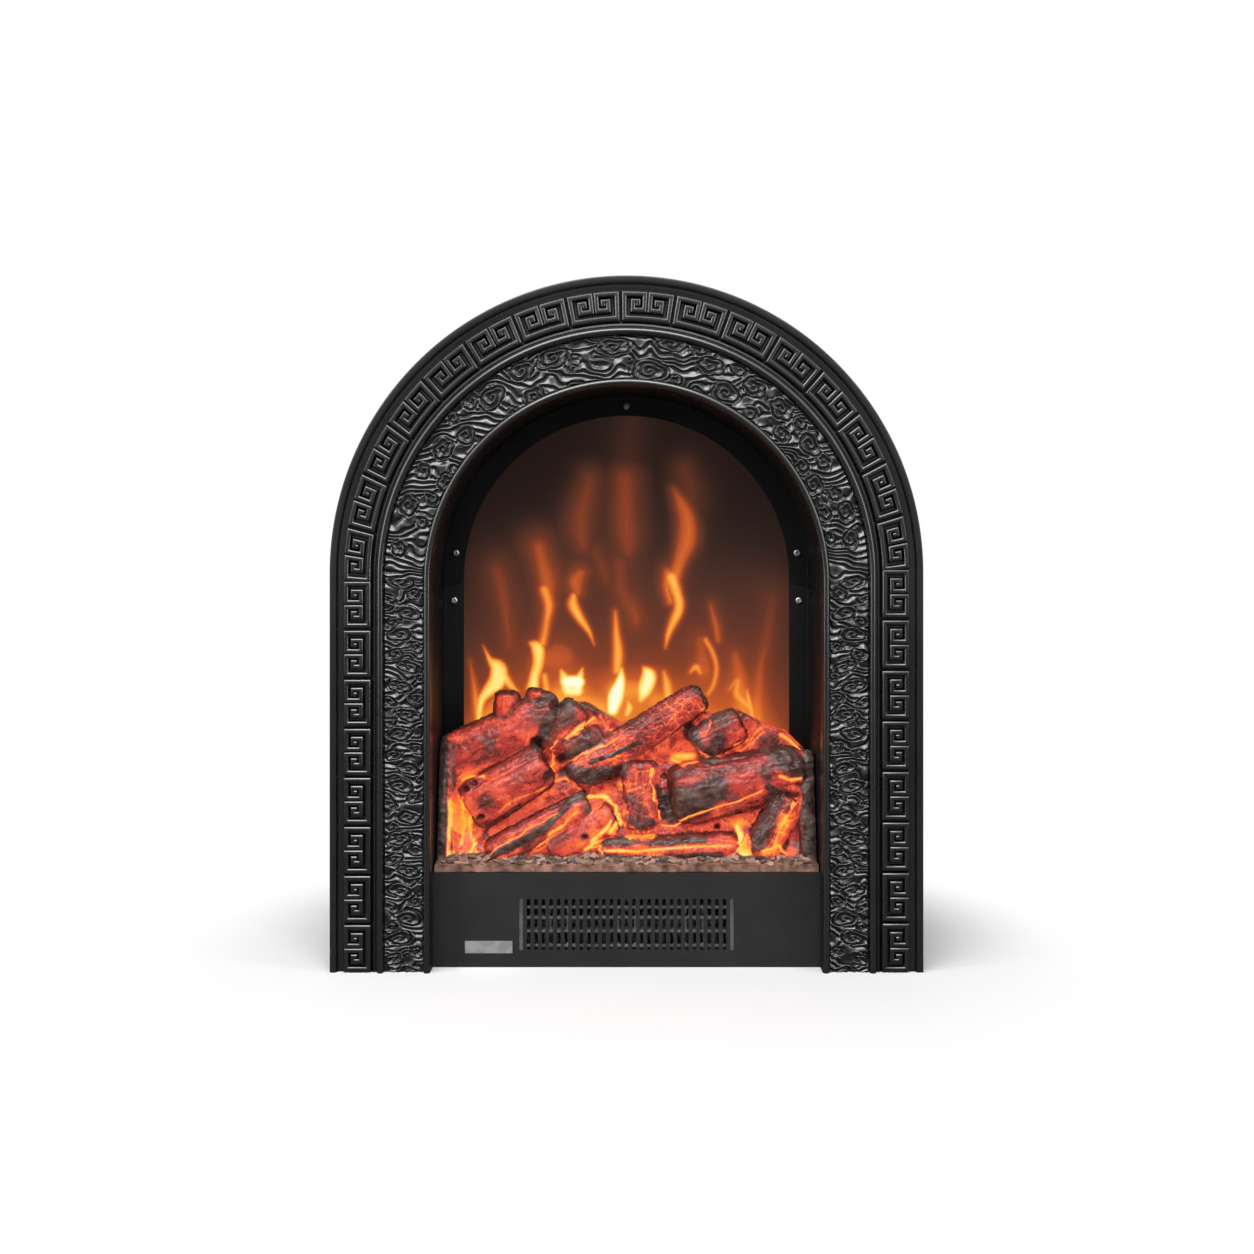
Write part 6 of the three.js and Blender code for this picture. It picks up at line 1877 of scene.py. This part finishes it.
# %% Holes of the gland and the switch
gland_hole_radius, gland_punch = 6.9 * mm, 6 * mm
bezel_lap = 1.7 * mm
cover_edge = 0.25 * mm
gland_low, gland_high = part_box("cord_gland")
switch_low, switch_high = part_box("switch_housing")
gland_middle = (gland_low + gland_high) / 2
deselect()
bpy.ops.mesh.primitive_cylinder_add(
    vertices=48, radius=gland_hole_radius, depth=gland_punch, rotation=(math.pi / 2, 0, 0),
    location=(gland_middle.x, (cover_low.y + cover_high.y) / 2, gland_middle.z))
gland_hole = settle(started("gland_hole"))
switch_window = block("switch_window", (switch_low.x + bezel_lap, through_low, switch_low.z + bezel_lap),
                      (switch_high.x - bezel_lap, through_high, switch_high.z - bezel_lap))
cut_out(cover, joined([*vents, gland_hole, switch_window], "punches"))
bevelled(cover, cover_edge, segments=2, angle=50)
hand_over(painted(flat_shaded(cover), matt_black), "casing", "casing_coat", "back_cover")

# %% [markdown]
# The same pan head screw that holds the liner also holds the cover, ten times along its edge. The
# heads are copies of the one modelled above, turned to face the back.

# %% Cover screws
screw_inset = 9 * mm
side_screws = (14 * mm, 200 * mm, cover_spring)
screw_turn_step = 0.37
screw_reach = cover_high.x - screw_inset
screw_spots = [(0, screw_inset)]
screw_spots += [(side * screw_reach, z) for side in (-1, 1) for z in side_screws]
screw_spots += [(screw_reach * math.cos(turn), cover_spring + screw_reach * math.sin(turn))
                for turn in (math.pi / 4, math.pi / 2, 3 * math.pi / 4)]
cover_screws = joined([screw_copy("cover_screw", x, cover_high.y, z, screw_turn_step * number, 1)
                       for number, (x, z) in enumerate(screw_spots)], "cover_screws")
hand_over(cover_screws, "casing", "screw_steel")
bpy.data.objects.remove(screw)

# %% [markdown]
# ## What stays as drawn
# The parts inside keep the shapes they have in the frame and get finishes to match: green circuit
# board with fine tracks, copper winding with its turns, a stack of steel laminations, zinc sheet,
# turned steel, bronze bushes, fin aluminium and mirror bright vanes. The two banded finishes share
# one effect, a wave along one direction with a little noise in it.

# %% Banded finishes
def banded_group(name, direction):
    """Bands along one direction, with a little noise in them."""
    group, given, put_out = effect_group(name, 200.0)
    bands = add_node(group, "ShaderNodeTexWave", {
        "Vector": given.outputs["Place"], "Scale": given.outputs["Scale"], "Distortion": 0.6,
        "Detail": 1.0}, bands_direction=direction)
    group.links.new(bands.outputs["Fac"], put_out.inputs["Height"])
    group.links.new(bands.outputs["Fac"], put_out.inputs["Patch"])
    return group


laminated = finish_of(
    "laminated_steel", banded_group("Sheets on edge", "X"), (0.16, 0.16, 0.17), (0.42, 0.42, 0.43),
    (0.4, 0.3), 320.0, 0.7, 0.9)
copper_winding = finish_of(
    "copper_winding", banded_group("Turns of wire", "Z"), (0.18, 0.045, 0.02), (0.55, 0.17, 0.07),
    (0.5, 0.28), 300.0, 0.9, 0.8)

# %% Circuit board
board_group, given, put_out = effect_group("Tracks", 120.0)
tracks = add_node(board_group, "ShaderNodeTexBrick", {
    "Vector": given.outputs["Place"], "Scale": given.outputs["Scale"], "Mortar Size": 0.06,
    "Color1": (0.3, 0.3, 0.3, 1), "Color2": (0.42, 0.42, 0.42, 1), "Mortar": (0.75, 0.75, 0.75, 1)})
board_group.links.new(tracks.outputs["Color"], put_out.inputs["Height"])
board_group.links.new(tracks.outputs["Color"], put_out.inputs["Patch"])
circuit_green = finish_of(
    "circuit_green", board_group, (0.006, 0.07, 0.02), (0.03, 0.2, 0.06), (0.24, 0.34), 90.0, 0.15)
print("banded finishes:", laminated.name, copper_winding.name, "and the board:", circuit_green.name)

# %% Give every remaining part its finish
finish_for_slot = {
    "casing_coat": matt_black, "bronze": sintered_bronze, "galvanised": zinc,
    "shaft_steel": bright_steel, "aluminium": mill_aluminium, "black_plastic": black_plastic,
    "circuit_board": circuit_green, "bright_sheet": mirror_sheet, "laminated_steel": laminated,
    "winding": copper_winding,
}
finished = 0
for name, part in sorted(nodes.items()):
    for socket in part.material_slots:
        if socket.material and socket.material.name in finish_for_slot:
            socket.material = finish_for_slot[socket.material.name]
            finished += 1
print("finishes set on the frame's own parts:", finished)
